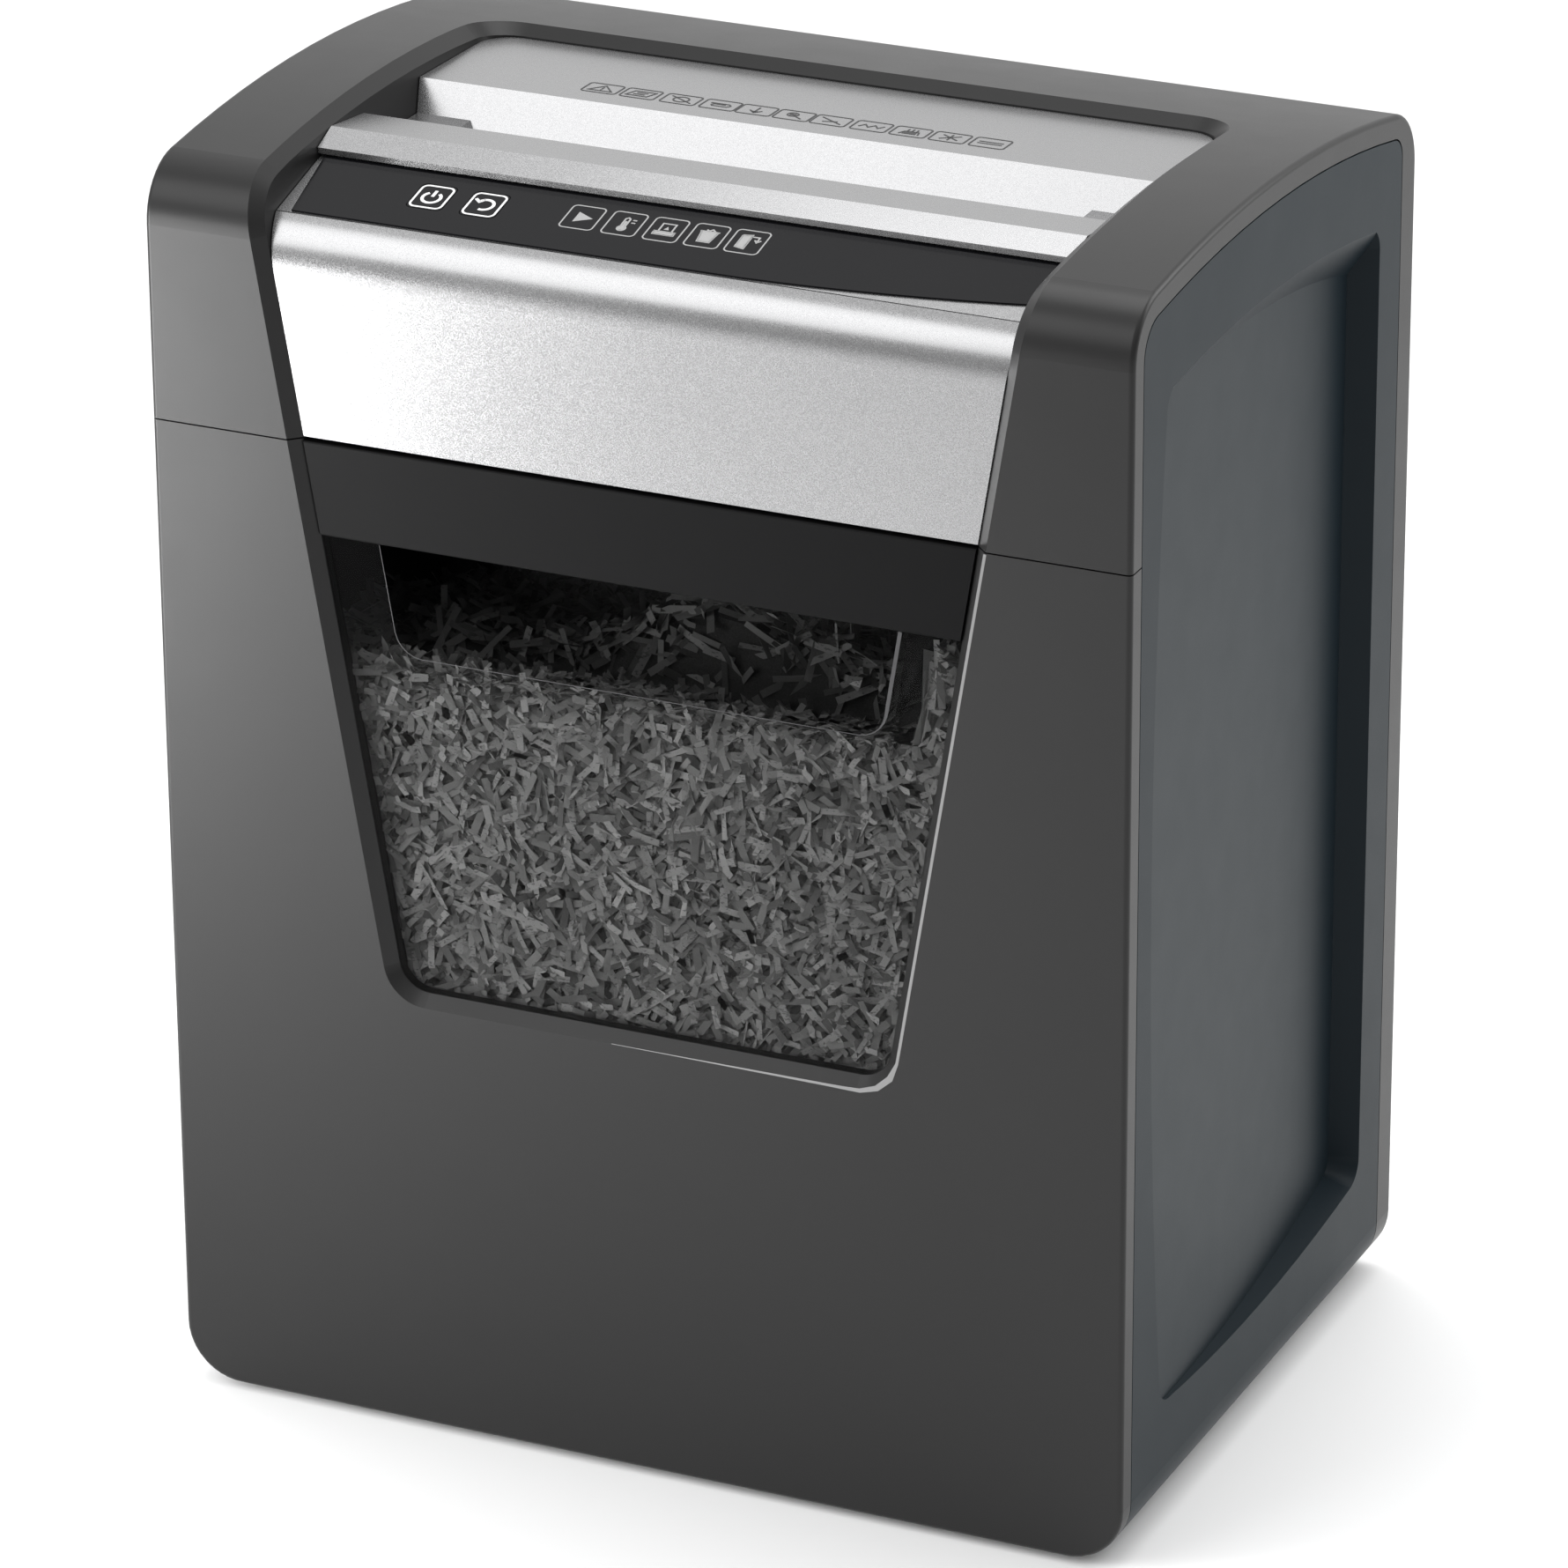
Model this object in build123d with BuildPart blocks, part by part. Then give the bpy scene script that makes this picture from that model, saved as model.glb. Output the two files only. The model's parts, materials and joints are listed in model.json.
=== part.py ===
from build123d import *

import os
from math import cos, pi, radians, sin, sqrt, tan

# Deskside paper shredder, in millimetres. +Z is up, the front faces -Y, and the
# origin is on the floor under the middle of the casing.

# ---- driving dimensions: casing ----
WIDTH = 345.0
DEPTH = 247.0
HEIGHT = 445.0
FOOT = 2.5                 # air under the casing, which stands on four pads
WALL = 3.0
ARCH_R = 630.0             # side view: the top is a shallow arch
ARCH_Y = -25.0
FRONT_R = 21.0
REAR_R = 22.0
BASE_R = 20.0              # rounded long edges at the bottom
EDGE_R = 1.8
SEAM_Z = 352.0             # head above, bin front below
GAP = 0.5                  # shadow gap between mouldings
FLANGE_FRONT = 8.0
FLANGE_TOP = 8.0
FLANGE_REAR = 13.0
Y_FRONT = -DEPTH / 2
Y_REAR = DEPTH / 2

# ---- driving dimensions: opening in the front and top ----
OPEN_HALF = 119.0          # half width at the seam
OPEN_SLOPE = 0.166         # it widens upwards
TOP_REAR = 51.0
TOP_CORNER_R = 12.0
BEVEL = 4.0
RECESS = 3.8               # front parts stand this far behind the front face
HEAD_COLLAR = 13.0         # depth of the walls inside the opening
THROAT_WALL = 3.0          # thickness of the walls beside the throat
BIN_COLLAR = 8.0
COLLAR_WALL = 8.0
FIT = 0.3                  # play of the parts that sit in the opening

# ---- driving dimensions: bin ----
WINDOW_Z = 161.5
WINDOW_R = 11.0
WINDOW_T = 2.5
PANEL_FACE_Y = Y_FRONT + RECESS
GRIP_Z = 319.0
GRIP_PROUD = 0.9
POCKET_Z = 281.0
POCKET_TOP = 341.0
POCKET_HALF = 86.0
POCKET_BACK = -80.0
TUB_HALF = 148.0
TUB_FRONT = -115.3
TUB_REAR = 103.0
TUB_Z = 10.0
TUB_TOP = 338.0
TUB_WALL = 2.5

# ---- driving dimensions: control panel and feed throat ----
PANEL_Y = -111.1
PANEL_Z = 425.4
PANEL_SLOPE = 12.7
PANEL_LENGTH = 37.0
LABEL_T = 0.6
KEY_W = 12.4
KEY_L = 14.4
KEY_GAP = 0.3
KEY_X = (-84.3, -65.4)
KEY_S = 19.8
LIGHT_X = (-31.0, -16.2, -1.6, 12.8, 26.9)
LIGHT_R = 2.4
LEDGE_X = 112.0
SLOT_X = 104.0

# ---- driving dimensions: cutting block, gears and motor ----
NIP_Y = -20.0
SHAFT_Z = 388.0
SHAFT_SPACING = 36.0
FRONT_SHAFT_Y = NIP_Y - SHAFT_SPACING / 2
REAR_SHAFT_Y = NIP_Y + SHAFT_SPACING / 2
SHAFT_R = 8.0
DISC_R = 20.5
DISC_T = 3.8
DISC_PITCH = 8.4
DISC_COUNT = 26
SPACER_R = 14.0
PLATE_X = 113.0
PLATE_T = 3.0
GEAR_MODULE = 1.5
TRANSFER_TEETH = 24
DRIVE_TEETH = 32
IDLER_SMALL_TEETH = 14
FINE_MODULE = 1.0
IDLER_LARGE_TEETH = 64
PINION_TEETH = 14
IDLER_Y = REAR_SHAFT_Y + GEAR_MODULE * (DRIVE_TEETH + IDLER_SMALL_TEETH) / 2
MOTOR_Y = IDLER_Y + FINE_MODULE * (IDLER_LARGE_TEETH + PINION_TEETH) / 2
MOTOR_R = 28.0
MOTOR_LENGTH = 88.0
DECK_Z = 345.0
DECK_T = 3.0
INNER_WALL_X = 151.0
INNER_WALL_T = 2.0

# ---- driving dimensions: back and side panels ----
REAR_OPEN_HALF = 132.0
REAR_OPEN_LOW = 42.0
REAR_OPEN_HIGH = 396.0
REAR_LEDGE = 8.0
REAR_PANEL_Y = 120.1
REAR_SCREW_R = 1.5
REAR_SCREWS = [(x, z) for x in (-128, 128) for z in (52, 219, 386)]
RECESS_FRONT_Y = -104.0
RECESS_REAR_Y = 91.0
RECESS_DEPTH = 11.5
RECESS_TOP = 37.0
PANEL_RETURN_X = 150.0

# ---- driving dimensions: base ----
FOOT_XY = [(x, y) for x in (-128, 128) for y in (-96, 92)]
BASE_TOP = FOOT + WALL
INNER_FRONT = 14.0

# ---- driving dimensions: head front, control panel and board ----
FASCIA_R = 24.0
FASCIA_TURN = 50.0
FASCIA_T = 2.5
SLOPE_ORIGIN = (0, PANEL_Y, PANEL_Z)
BOARD_LOW = -10.0
BOARD_TOP = -8.4
BOARD_POSTS = [(x, s) for x in (-96, 42) for s in (8, 32)]

# ---- driving dimensions: feed throat, sections in (y, z) ----
LEDGE_Z = 427.0
LIP = [(-78, 434.2), (-78, 436.2), (-67, 440), (-45, 437.6), (-23, 416), (-25.5, 414.8), (-47.5, 434.2)]
RAMP = [(-4, 437.4), (53, 435.8), (53, 433.3), (-2.4, 434.9), (-13.4, 415.8), (-16.3, 416)]
LEDGE = [(-35.4, LEDGE_Z), (-9, LEDGE_Z), (-15, 416), (-24, 416)]
CHUTE_LOW = 404.5

# ---- driving dimensions: cutting block and drive, outlines in (y, z) ----
PLATE_TOP = 414.0
ROD_YZ = [(-69, 358), (24, 358), (-69, 406), (24, 406)]
ROD_R = 4.0
LEFT_PLATE = [(-77, 348), (32, 348), (32, PLATE_TOP), (-77, PLATE_TOP)]
RIGHT_PLATE = [(-77, 348), (104, 348), (104, 420), (-3, 420), (-3, PLATE_TOP), (-77, PLATE_TOP)]
SHAFT_HOLES = [(FRONT_SHAFT_Y, SHAFT_Z, 10.0), (REAR_SHAFT_Y, SHAFT_Z, 10.0)]
ROD_HOLES = [(y, z, ROD_R) for y, z in ROD_YZ]
DRIVE_HOLES = [(IDLER_Y, SHAFT_Z, 5.0), (MOTOR_Y, SHAFT_Z, 9.0)]
FRONT_BAR_Y = FRONT_SHAFT_Y - DISC_R - 1.5
REAR_BAR_Y = REAR_SHAFT_Y + DISC_R + 1.5
MOTOR_END = PLATE_X - MOTOR_LENGTH

# ---- driving dimensions: bin and paper ----
BIN_SCREWS = [(x, z) for x in (-134, 134) for z in (60, 300)]
HEAP_FLOOR = TUB_Z + TUB_WALL + 0.4
HEAP_HALF = TUB_HALF - TUB_WALL - 0.6
HEAP_FRONT = TUB_FRONT + TUB_WALL + 2.4
HEAP_REAR = TUB_REAR - TUB_WALL - 0.6

os.makedirs("parts", exist_ok=True)


def save(part, name):
    """Label a finished piece and write it as parts/NAME.step."""
    part.label = name
    export_step(part, f"parts/{name}.step")


# ---------------------------------------------------------------- outlines
def side_outline(front, top, rear, bottom, front_radius, rear_radius):
    """Side view of the casing, inset from its front, top and rear faces."""
    y_front = Y_FRONT + front
    y_rear = Y_REAR - rear
    radius = ARCH_R - top
    z_centre = HEIGHT - ARCH_R
    z_front = z_centre + sqrt(radius**2 - (y_front - ARCH_Y) ** 2)
    z_rear = z_centre + sqrt(radius**2 - (y_rear - ARCH_Y) ** 2)
    with BuildSketch(Plane.YZ) as outline:
        with BuildLine():
            Polyline((y_rear, z_rear), (y_rear, bottom), (y_front, bottom), (y_front, z_front))
            ThreePointArc((y_front, z_front), (ARCH_Y, z_centre + radius), (y_rear, z_rear))
        make_face()
        fillet(outline.vertices().group_by(Axis.X)[0].sort_by(Axis.Y)[-1], front_radius)
        fillet(outline.vertices().group_by(Axis.X)[-1].sort_by(Axis.Y)[-1], rear_radius)
    return outline.sketch


def front_outline(inset):
    """Front view of the casing, whose two lower corners are rounded."""
    low = FOOT + inset
    high = HEIGHT + 10
    with BuildSketch(Plane.XZ) as outline:
        with Locations((0, (low + high) / 2)):
            Rectangle(WIDTH - 2 * inset, high - low)
        fillet(outline.vertices().group_by(Axis.Y)[0], BASE_R - inset)
    return outline.sketch


def casing_form(inset):
    """Solid form of the whole casing, inset all round."""
    front_radius = max(FRONT_R - inset, 2)
    rear_radius = max(REAR_R - inset, 2)
    profile = side_outline(inset, inset, inset, FOOT + inset, front_radius, rear_radius)
    with BuildPart() as form:
        extrude(profile, amount=WIDTH / 2 - inset, both=True)
        extrude(front_outline(inset), amount=DEPTH, both=True, mode=Mode.INTERSECT)
    return form.part


def outer_casing_form():
    """The outer form with its side edges, and its front and rear foot edges, softened."""
    with BuildPart() as form:
        add(casing_form(0))
        edges = form.edges().filter_by(lambda e: abs(abs((e @ 0.5).X) - WIDTH / 2) < 0.01)
        edges = edges.filter_by(lambda e: not (e.geom_type == GeomType.LINE and abs((e % 0.5).Y) > 0.9))
        foot = form.edges().filter_by(
            lambda e: (e @ 0.5).Z < FOOT + BASE_R - 0.1 and abs((e % 0.5).Y) < 0.1
        )
        fillet(edges + foot, EDGE_R)
    return form.part


def open_half(z):
    """Half width of the front opening, measured inside its bevel."""
    return OPEN_HALF + OPEN_SLOPE * (z - SEAM_Z)


def open_outline(y, inset, z_low, z_high, corner_radius=0.0):
    """Front view of the opening between two heights, drawn at depth y."""
    low = open_half(z_low) - inset
    high = open_half(z_high) - inset
    with BuildSketch(Plane.XZ.offset(-y)) as outline:
        with BuildLine():
            Polyline((-low, z_low), (low, z_low), (high, z_high), (-high, z_high), close=True)
        make_face()
        if corner_radius:
            fillet(outline.vertices().group_by(Axis.Y)[0], corner_radius)
    return outline.sketch


def opening_form(grow):
    """The space of the opening, from the window's sill over the front edge to its rear corners."""
    outline = open_outline(Y_FRONT - 2, -grow, WINDOW_Z - grow, HEIGHT + 20, WINDOW_R + grow)
    with BuildPart() as form:
        extrude(outline, amount=Y_FRONT - 2 - TOP_REAR - grow)
        rear = form.edges().group_by(Axis.Y)[-1]
        corners = rear.filter_by(lambda e: (e @ 0.5).Z > HEIGHT / 2 and abs((e % 0.5).Z) > 0.5)
        fillet(corners, TOP_CORNER_R + grow)
    return form.part


def block(x_low, x_high, y_low, y_high, z_low, z_high):
    """A plain block between two corners."""
    with BuildPart() as solid:
        with BuildSketch(Plane.XY.offset(z_low)):
            with Locations(((x_low + x_high) / 2, (y_low + y_high) / 2)):
                Rectangle(x_high - x_low, y_high - y_low)
        extrude(amount=z_high - z_low)
    return solid.part


def mirrored(part):
    """The same piece for the left-hand side."""
    return mirror(part, about=Plane.YZ)


def axle_plane(x, y, z=SHAFT_Z):
    """Plane across an axle that runs along X."""
    return Plane(origin=(x, y, z), x_dir=(0, 1, 0), z_dir=(1, 0, 0))


def rod(x_low, x_high, y, radius, bore=0.0, z=SHAFT_Z):
    """A round bar or ring along X."""
    with BuildPart() as bar:
        with BuildSketch(axle_plane(x_low, y, z)):
            Circle(radius)
            if bore:
                Circle(bore, mode=Mode.SUBTRACT)
        extrude(amount=x_high - x_low)
    return bar.part


def gear(x_low, x_high, y, module, teeth, phase, bore):
    """A spur gear along X with straight-sided teeth; phase turns its first tooth."""
    pitch_r = module * teeth / 2
    root_r = pitch_r - 1.2 * module
    tip_r = pitch_r + 0.85 * module
    pitch_width = 0.46 * pi * module
    tip_width = pitch_width - 2 * 0.85 * module * tan(radians(20))
    root_width = pitch_width + 2 * 1.2 * module * tan(radians(16))
    with BuildPart() as wheel:
        with BuildSketch(axle_plane(x_low, y)):
            Circle(root_r)
            with PolarLocations(0, teeth, start_angle=phase):
                with BuildLine():
                    Polyline(
                        (root_r - 0.4, -root_width / 2), (tip_r, -tip_width / 2),
                        (tip_r, tip_width / 2), (root_r - 0.4, root_width / 2), close=True,
                    )
                make_face()
            Circle(bore, mode=Mode.SUBTRACT)
        extrude(amount=x_high - x_low)
    return wheel.part


def prism(x_low, x_high, points):
    """A straight bar along X with a polygonal section given in (y, z)."""
    with BuildPart() as bar:
        with BuildSketch(Plane.YZ.offset(x_low)):
            with BuildLine():
                Polyline(*points, close=True)
            make_face()
        extrude(amount=x_high - x_low)
    return bar.part


# ---------------------------------------------------------------- casing mouldings
def casing_solid():
    """The outer form with the opening cut through it and a bevelled rim."""
    shallow = casing_form(0.2)
    space = opening_form(0)
    with BuildPart() as solid:
        add(outer_casing_form())
        add(space, mode=Mode.SUBTRACT)
        rim = solid.edges().filter_by(
            lambda e: not shallow.is_inside(e @ 0.5, 0.01)
            and space.distance_to(Vertex(*(e @ 0.5))) < 0.01
        )
        chamfer(rim, BEVEL)
    return solid.part


CASING = casing_solid()
CAVITY = casing_form(WALL)
ABOVE_SEAM = block(-WIDTH, WIDTH, -DEPTH, DEPTH, SEAM_Z - GAP / 2, 2 * HEIGHT)
BELOW_SEAM = block(-WIDTH, WIDTH, -DEPTH, DEPTH, -HEIGHT, SEAM_Z + GAP / 2)
IN_OPENING = opening_form(-FIT)


def rear_rectangle(y, grow):
    """Outline of the rear opening at depth y, grown all round."""
    with BuildSketch(Plane.XZ.offset(-y)) as outline:
        with Locations((0, (REAR_OPEN_LOW + REAR_OPEN_HIGH) / 2)):
            RectangleRounded(2 * (REAR_OPEN_HALF + grow), REAR_OPEN_HIGH - REAR_OPEN_LOW + 2 * grow, 12 + grow)
    return outline.sketch


with BuildPart() as head_collar:
    add(CASING)
    add(opening_form(COLLAR_WALL), mode=Mode.INTERSECT)
    add(casing_form(HEAD_COLLAR), mode=Mode.SUBTRACT)
    add(BELOW_SEAM, mode=Mode.SUBTRACT)

# low walls in the head surround, beside the two ends of the throat
with BuildPart() as throat_walls:
    add(CASING)
    add(opening_form(THROAT_WALL), mode=Mode.INTERSECT)
    add(block(-WIDTH, WIDTH, -48, -2, 424.5, 436), mode=Mode.INTERSECT)

# head surround: one hoop from the front seam over the top and down the back
with BuildPart() as head_surround:
    add(CASING)
    add(CAVITY, mode=Mode.SUBTRACT)
    extrude(
        side_outline(
            FLANGE_FRONT, FLANGE_TOP, FLANGE_REAR, -10, FRONT_R - FLANGE_FRONT, REAR_R - FLANGE_REAR
        ),
        amount=WIDTH, both=True, mode=Mode.SUBTRACT,
    )
    add(
        block(-WIDTH, WIDTH, -DEPTH, Y_REAR - FLANGE_REAR, -10, SEAM_Z + GAP / 2),
        mode=Mode.SUBTRACT,
    )
    add(head_collar.part)
    add(throat_walls.part)
    extrude(rear_rectangle(Y_REAR - WALL, 6), amount=3)
    extrude(rear_rectangle(Y_REAR + 2, 0), amount=2 + Y_REAR - REAR_PANEL_Y, mode=Mode.SUBTRACT)
    extrude(rear_rectangle(Y_REAR, -REAR_LEDGE), amount=20, mode=Mode.SUBTRACT)
    with BuildSketch(Plane.XZ.offset(-Y_REAR)):
        with Locations(*REAR_SCREWS):
            Circle(REAR_SCREW_R)
    extrude(amount=10, mode=Mode.SUBTRACT)
save(head_surround.part, "head_surround")

with BuildPart() as rear_panel:
    extrude(rear_rectangle(Y_REAR - 0.6, -0.4), amount=Y_REAR - 0.6 - REAR_PANEL_Y)
    with BuildSketch(Plane.XZ.offset(-Y_REAR)):
        with GridLocations(96, 9, 2, 9):
            with Locations((0, 330)):
                SlotOverall(72, 4)
        with Locations((100, 66)):
            Circle(7)
        with Locations(*REAR_SCREWS):
            Circle(REAR_SCREW_R + 0.2)
    extrude(amount=10, mode=Mode.SUBTRACT)
    with BuildSketch(Plane.XZ.offset(-Y_REAR)):
        with Locations(*REAR_SCREWS):
            Circle(3.2)
    extrude(amount=2.0, mode=Mode.SUBTRACT)
save(rear_panel.part, "rear_panel")

with BuildPart() as rear_panel_screws:
    with BuildSketch(Plane.XZ.offset(-Y_REAR + 2.0)):
        with Locations(*REAR_SCREWS):
            Circle(REAR_SCREW_R)
    extrude(amount=7)
    with BuildSketch(Plane.XZ.offset(-Y_REAR + 0.7)):
        with Locations(*REAR_SCREWS):
            Circle(2.9)
            Rectangle(3.6, 0.7, mode=Mode.SUBTRACT)
            Rectangle(0.7, 3.6, mode=Mode.SUBTRACT)
    extrude(amount=1.3)
save(rear_panel_screws.part, "rear_panel_screws")

with BuildPart() as mains_gland:
    with BuildSketch(Plane.XZ.offset(-Y_REAR + 0.6)):
        with Locations((100, 66)):
            Circle(6.95)
    extrude(amount=12)
    with BuildSketch(Plane.XZ.offset(-Y_REAR + 0.1)):
        with Locations((100, 66)):
            Circle(9)
    extrude(amount=0.5)
    with BuildSketch(Plane.XZ.offset(-Y_REAR)):
        with Locations((100, 66)):
            Circle(3.6)
    extrude(amount=20, mode=Mode.SUBTRACT)
save(mains_gland.part, "mains_gland")

# ---- side panels with their wedge-shaped recess ----


def recess_outline(x, grow, top_drop, reach):
    """Side view of the recess at x; reach pushes out every side but the top."""
    radius = ARCH_R - RECESS_TOP - top_drop
    z_centre = HEIGHT - ARCH_R
    y_front = -95.0 - reach
    y_rear = RECESS_REAR_Y + reach
    z_front = z_centre + sqrt(radius**2 - (y_front - ARCH_Y) ** 2)
    z_rear = z_centre + sqrt(radius**2 - (y_rear - ARCH_Y) ** 2)
    with BuildSketch(Plane.YZ.offset(x)) as outline:
        with BuildLine():
            ThreePointArc((y_front + 4, 47 - reach), (-5, 42.5 - reach), (y_rear, 49 - reach))
            Line((y_rear, 49 - reach), (y_rear, z_rear))
            ThreePointArc((y_rear, z_rear), (ARCH_Y, z_centre + radius), (y_front, z_front))
            ThreePointArc((y_front, z_front), (RECESS_FRONT_Y - reach, 225), (y_front + 4, 47 - reach))
        make_face()
        fillet(outline.vertices(), 9)
        if grow:
            offset(amount=grow)
    return outline.sketch


def recess_form(grow):
    """Wedge on the right side: no depth at its front edge, deepest at its rear wall."""
    outer_x = WIDTH / 2 + 0.5
    inner_x = WIDTH / 2 - RECESS_DEPTH - 4
    with BuildPart() as wedge:
        loft([recess_outline(outer_x, grow, 0, 0), recess_outline(inner_x, grow - 4.5, 0, 0)])
        with BuildSketch(Plane.XY.offset(-10)):
            with BuildLine():
                Polyline(
                    (WIDTH / 2 - grow, RECESS_FRONT_Y), (WIDTH, RECESS_FRONT_Y), (WIDTH, RECESS_REAR_Y + 20),
                    (WIDTH / 2 - RECESS_DEPTH - grow, RECESS_REAR_Y + 20), close=True,
                )
            make_face()
        extrude(amount=HEIGHT, mode=Mode.INTERSECT)
    with BuildPart() as slope:
        loft([recess_outline(outer_x, grow, 0, 30), recess_outline(inner_x, grow, 25, 30)])
    with BuildPart() as form:
        add(wedge.part)
        add(slope.part, mode=Mode.INTERSECT)
    return form.part


with BuildPart() as side_panel_right:
    add(CASING)
    add(CAVITY, mode=Mode.SUBTRACT)
    extrude(
        side_outline(
            FLANGE_FRONT + GAP, FLANGE_TOP + GAP, FLANGE_REAR + GAP, -10,
            FRONT_R - FLANGE_FRONT, REAR_R - FLANGE_REAR,
        ),
        amount=WIDTH, both=True, mode=Mode.INTERSECT,
    )
    add(block(PANEL_RETURN_X, WIDTH, -DEPTH, DEPTH, -10, 2 * HEIGHT), mode=Mode.INTERSECT)
    add(recess_form(2.5))
    add(recess_form(0), mode=Mode.SUBTRACT)
    add(block(WIDTH / 2, WIDTH, -DEPTH, DEPTH, -10, 2 * HEIGHT), mode=Mode.SUBTRACT)
save(side_panel_right.part, "side_panel_right")
save(mirrored(side_panel_right.part), "side_panel_left")

# ---- base, feet, rails and inner walls ----

with BuildPart() as base_plate:
    add(block(
        -PANEL_RETURN_X + GAP, PANEL_RETURN_X - GAP,
        Y_FRONT + FLANGE_FRONT + GAP, Y_REAR - FLANGE_REAR - GAP, FOOT, BASE_TOP,
    ))
    with BuildSketch(Plane.XY.offset(FOOT)):
        with Locations(*FOOT_XY):
            Circle(4.05)
    extrude(amount=WALL, mode=Mode.SUBTRACT)
save(base_plate.part, "base_plate")

with BuildPart() as feet:
    with BuildSketch(Plane.XY):
        with Locations(*FOOT_XY):
            Circle(11)
    extrude(amount=FOOT)
    with BuildSketch(Plane.XY.offset(FOOT)):
        with Locations(*FOOT_XY):
            Circle(4)
    extrude(amount=WALL + 1.5)
    chamfer(feet.edges().group_by(Axis.Z)[0], 0.8)
save(feet.part, "feet")

with BuildPart() as bin_rails:
    for x in (-98, 98):
        add(block(x - 6, x + 6, -106, 100, BASE_TOP, TUB_Z - 0.4))
save(bin_rails.part, "bin_rails")

with BuildPart() as inner_wall_right:
    extrude(
        side_outline(INNER_FRONT, INNER_FRONT, INNER_FRONT, BASE_TOP + 0.1, 10, 10),
        amount=INNER_WALL_X + INNER_WALL_T,
    )
    add(block(-1, INNER_WALL_X, -DEPTH, DEPTH, -10, 2 * HEIGHT), mode=Mode.SUBTRACT)
save(inner_wall_right.part, "inner_wall_right")
save(mirrored(inner_wall_right.part), "inner_wall_left")

# ---- deck under the cutting block, with the drop-through into the bin ----
with BuildPart() as head_deck:
    add(block(-INNER_WALL_X + 0.3, INNER_WALL_X - 0.3, -108, 108, DECK_Z, DECK_Z + DECK_T))
    add(
        block(-110, 110, NIP_Y - 42, NIP_Y + 42, DECK_Z - 1, DECK_Z + DECK_T + 1),
        mode=Mode.SUBTRACT,
    )
save(head_deck.part, "head_deck")

# ---------------------------------------------------------------- front and top of the head

with BuildPart() as front_fascia:
    centre_y = PANEL_FACE_Y + FASCIA_R
    centre_z = PANEL_Z - FASCIA_R * sin(radians(FASCIA_TURN))
    inner_r = FASCIA_R - FASCIA_T
    half_turn = radians(FASCIA_TURN / 2)
    full_turn = radians(FASCIA_TURN)
    with BuildSketch(Plane.YZ.offset(-WIDTH / 2)):
        with BuildLine():
            Polyline(
                (PANEL_FACE_Y + FASCIA_T, centre_z), (PANEL_FACE_Y + FASCIA_T, SEAM_Z + 0.7),
                (PANEL_FACE_Y, SEAM_Z + 0.7), (PANEL_FACE_Y, centre_z),
            )
            ThreePointArc(
                (PANEL_FACE_Y, centre_z),
                (centre_y - FASCIA_R * cos(half_turn), centre_z + FASCIA_R * sin(half_turn)),
                (centre_y - FASCIA_R * cos(full_turn), centre_z + FASCIA_R * sin(full_turn)),
            )
            Line(
                (centre_y - FASCIA_R * cos(full_turn), centre_z + FASCIA_R * sin(full_turn)),
                (centre_y - inner_r * cos(full_turn), centre_z + inner_r * sin(full_turn)),
            )
            ThreePointArc(
                (centre_y - inner_r * cos(full_turn), centre_z + inner_r * sin(full_turn)),
                (centre_y - inner_r * cos(half_turn), centre_z + inner_r * sin(half_turn)),
                (PANEL_FACE_Y + FASCIA_T, centre_z),
            )
        make_face()
    extrude(amount=WIDTH)
    add(IN_OPENING, mode=Mode.INTERSECT)
save(front_fascia.part, "front_fascia")

slope = radians(PANEL_SLOPE)


def slope_plane(height):
    """Plane on the sloping control panel, with local y running up the slope."""
    base = Plane(origin=SLOPE_ORIGIN, x_dir=(1, 0, 0), z_dir=(0, -sin(slope), cos(slope)))
    return base.offset(height)


def key_holes(plane, grow=0.0):
    """Outlines of the two keys on a plane of the control panel."""
    with BuildSketch(plane) as holes:
        with Locations(*[(x, KEY_S) for x in KEY_X]):
            RectangleRounded(KEY_W + 2 * grow, KEY_L + 2 * grow, 1.8 + grow)
    return holes.sketch


with BuildPart() as control_panel_base:
    with BuildSketch(slope_plane(-2.4)):
        with Locations((0, PANEL_LENGTH / 2 + 0.5)):
            Rectangle(WIDTH, PANEL_LENGTH)
    extrude(amount=2.4)
    extrude(key_holes(slope_plane(-3), KEY_GAP), amount=5, mode=Mode.SUBTRACT)
    with BuildSketch(slope_plane(-3)):
        with Locations(*[(x, KEY_S + 1) for x in LIGHT_X]):
            Circle(LIGHT_R)
    extrude(amount=5, mode=Mode.SUBTRACT)
    add(IN_OPENING, mode=Mode.INTERSECT)
    add(front_fascia.part, mode=Mode.SUBTRACT)
save(control_panel_base.part, "control_panel_base")

with BuildPart() as control_label:
    with BuildSketch(slope_plane(0)):
        with BuildLine():
            Polyline((132, 10.3), (134, 34.6), (-130.4, 34.6), (-125.8, 1.0), (34, 1.0))
            ThreePointArc((34, 1.0), (85, 4.2), (132, 10.3))
        make_face()
    extrude(amount=LABEL_T)
    extrude(key_holes(slope_plane(-1), KEY_GAP), amount=5, mode=Mode.SUBTRACT)
    add(IN_OPENING, mode=Mode.INTERSECT)
save(control_label.part, "control_label")

for name, key_x in zip(("power_button", "reverse_button"), KEY_X):
    with BuildPart() as key:
        with BuildSketch(slope_plane(-2.4)):
            with Locations((key_x, KEY_S)):
                RectangleRounded(KEY_W, KEY_L, 1.8)
        extrude(amount=2.4 + LABEL_T)
        with BuildSketch(slope_plane(-5.0)):
            with Locations((key_x, KEY_S)):
                Circle(1.8)
        extrude(amount=2.6)
    save(key.part, name)


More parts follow.
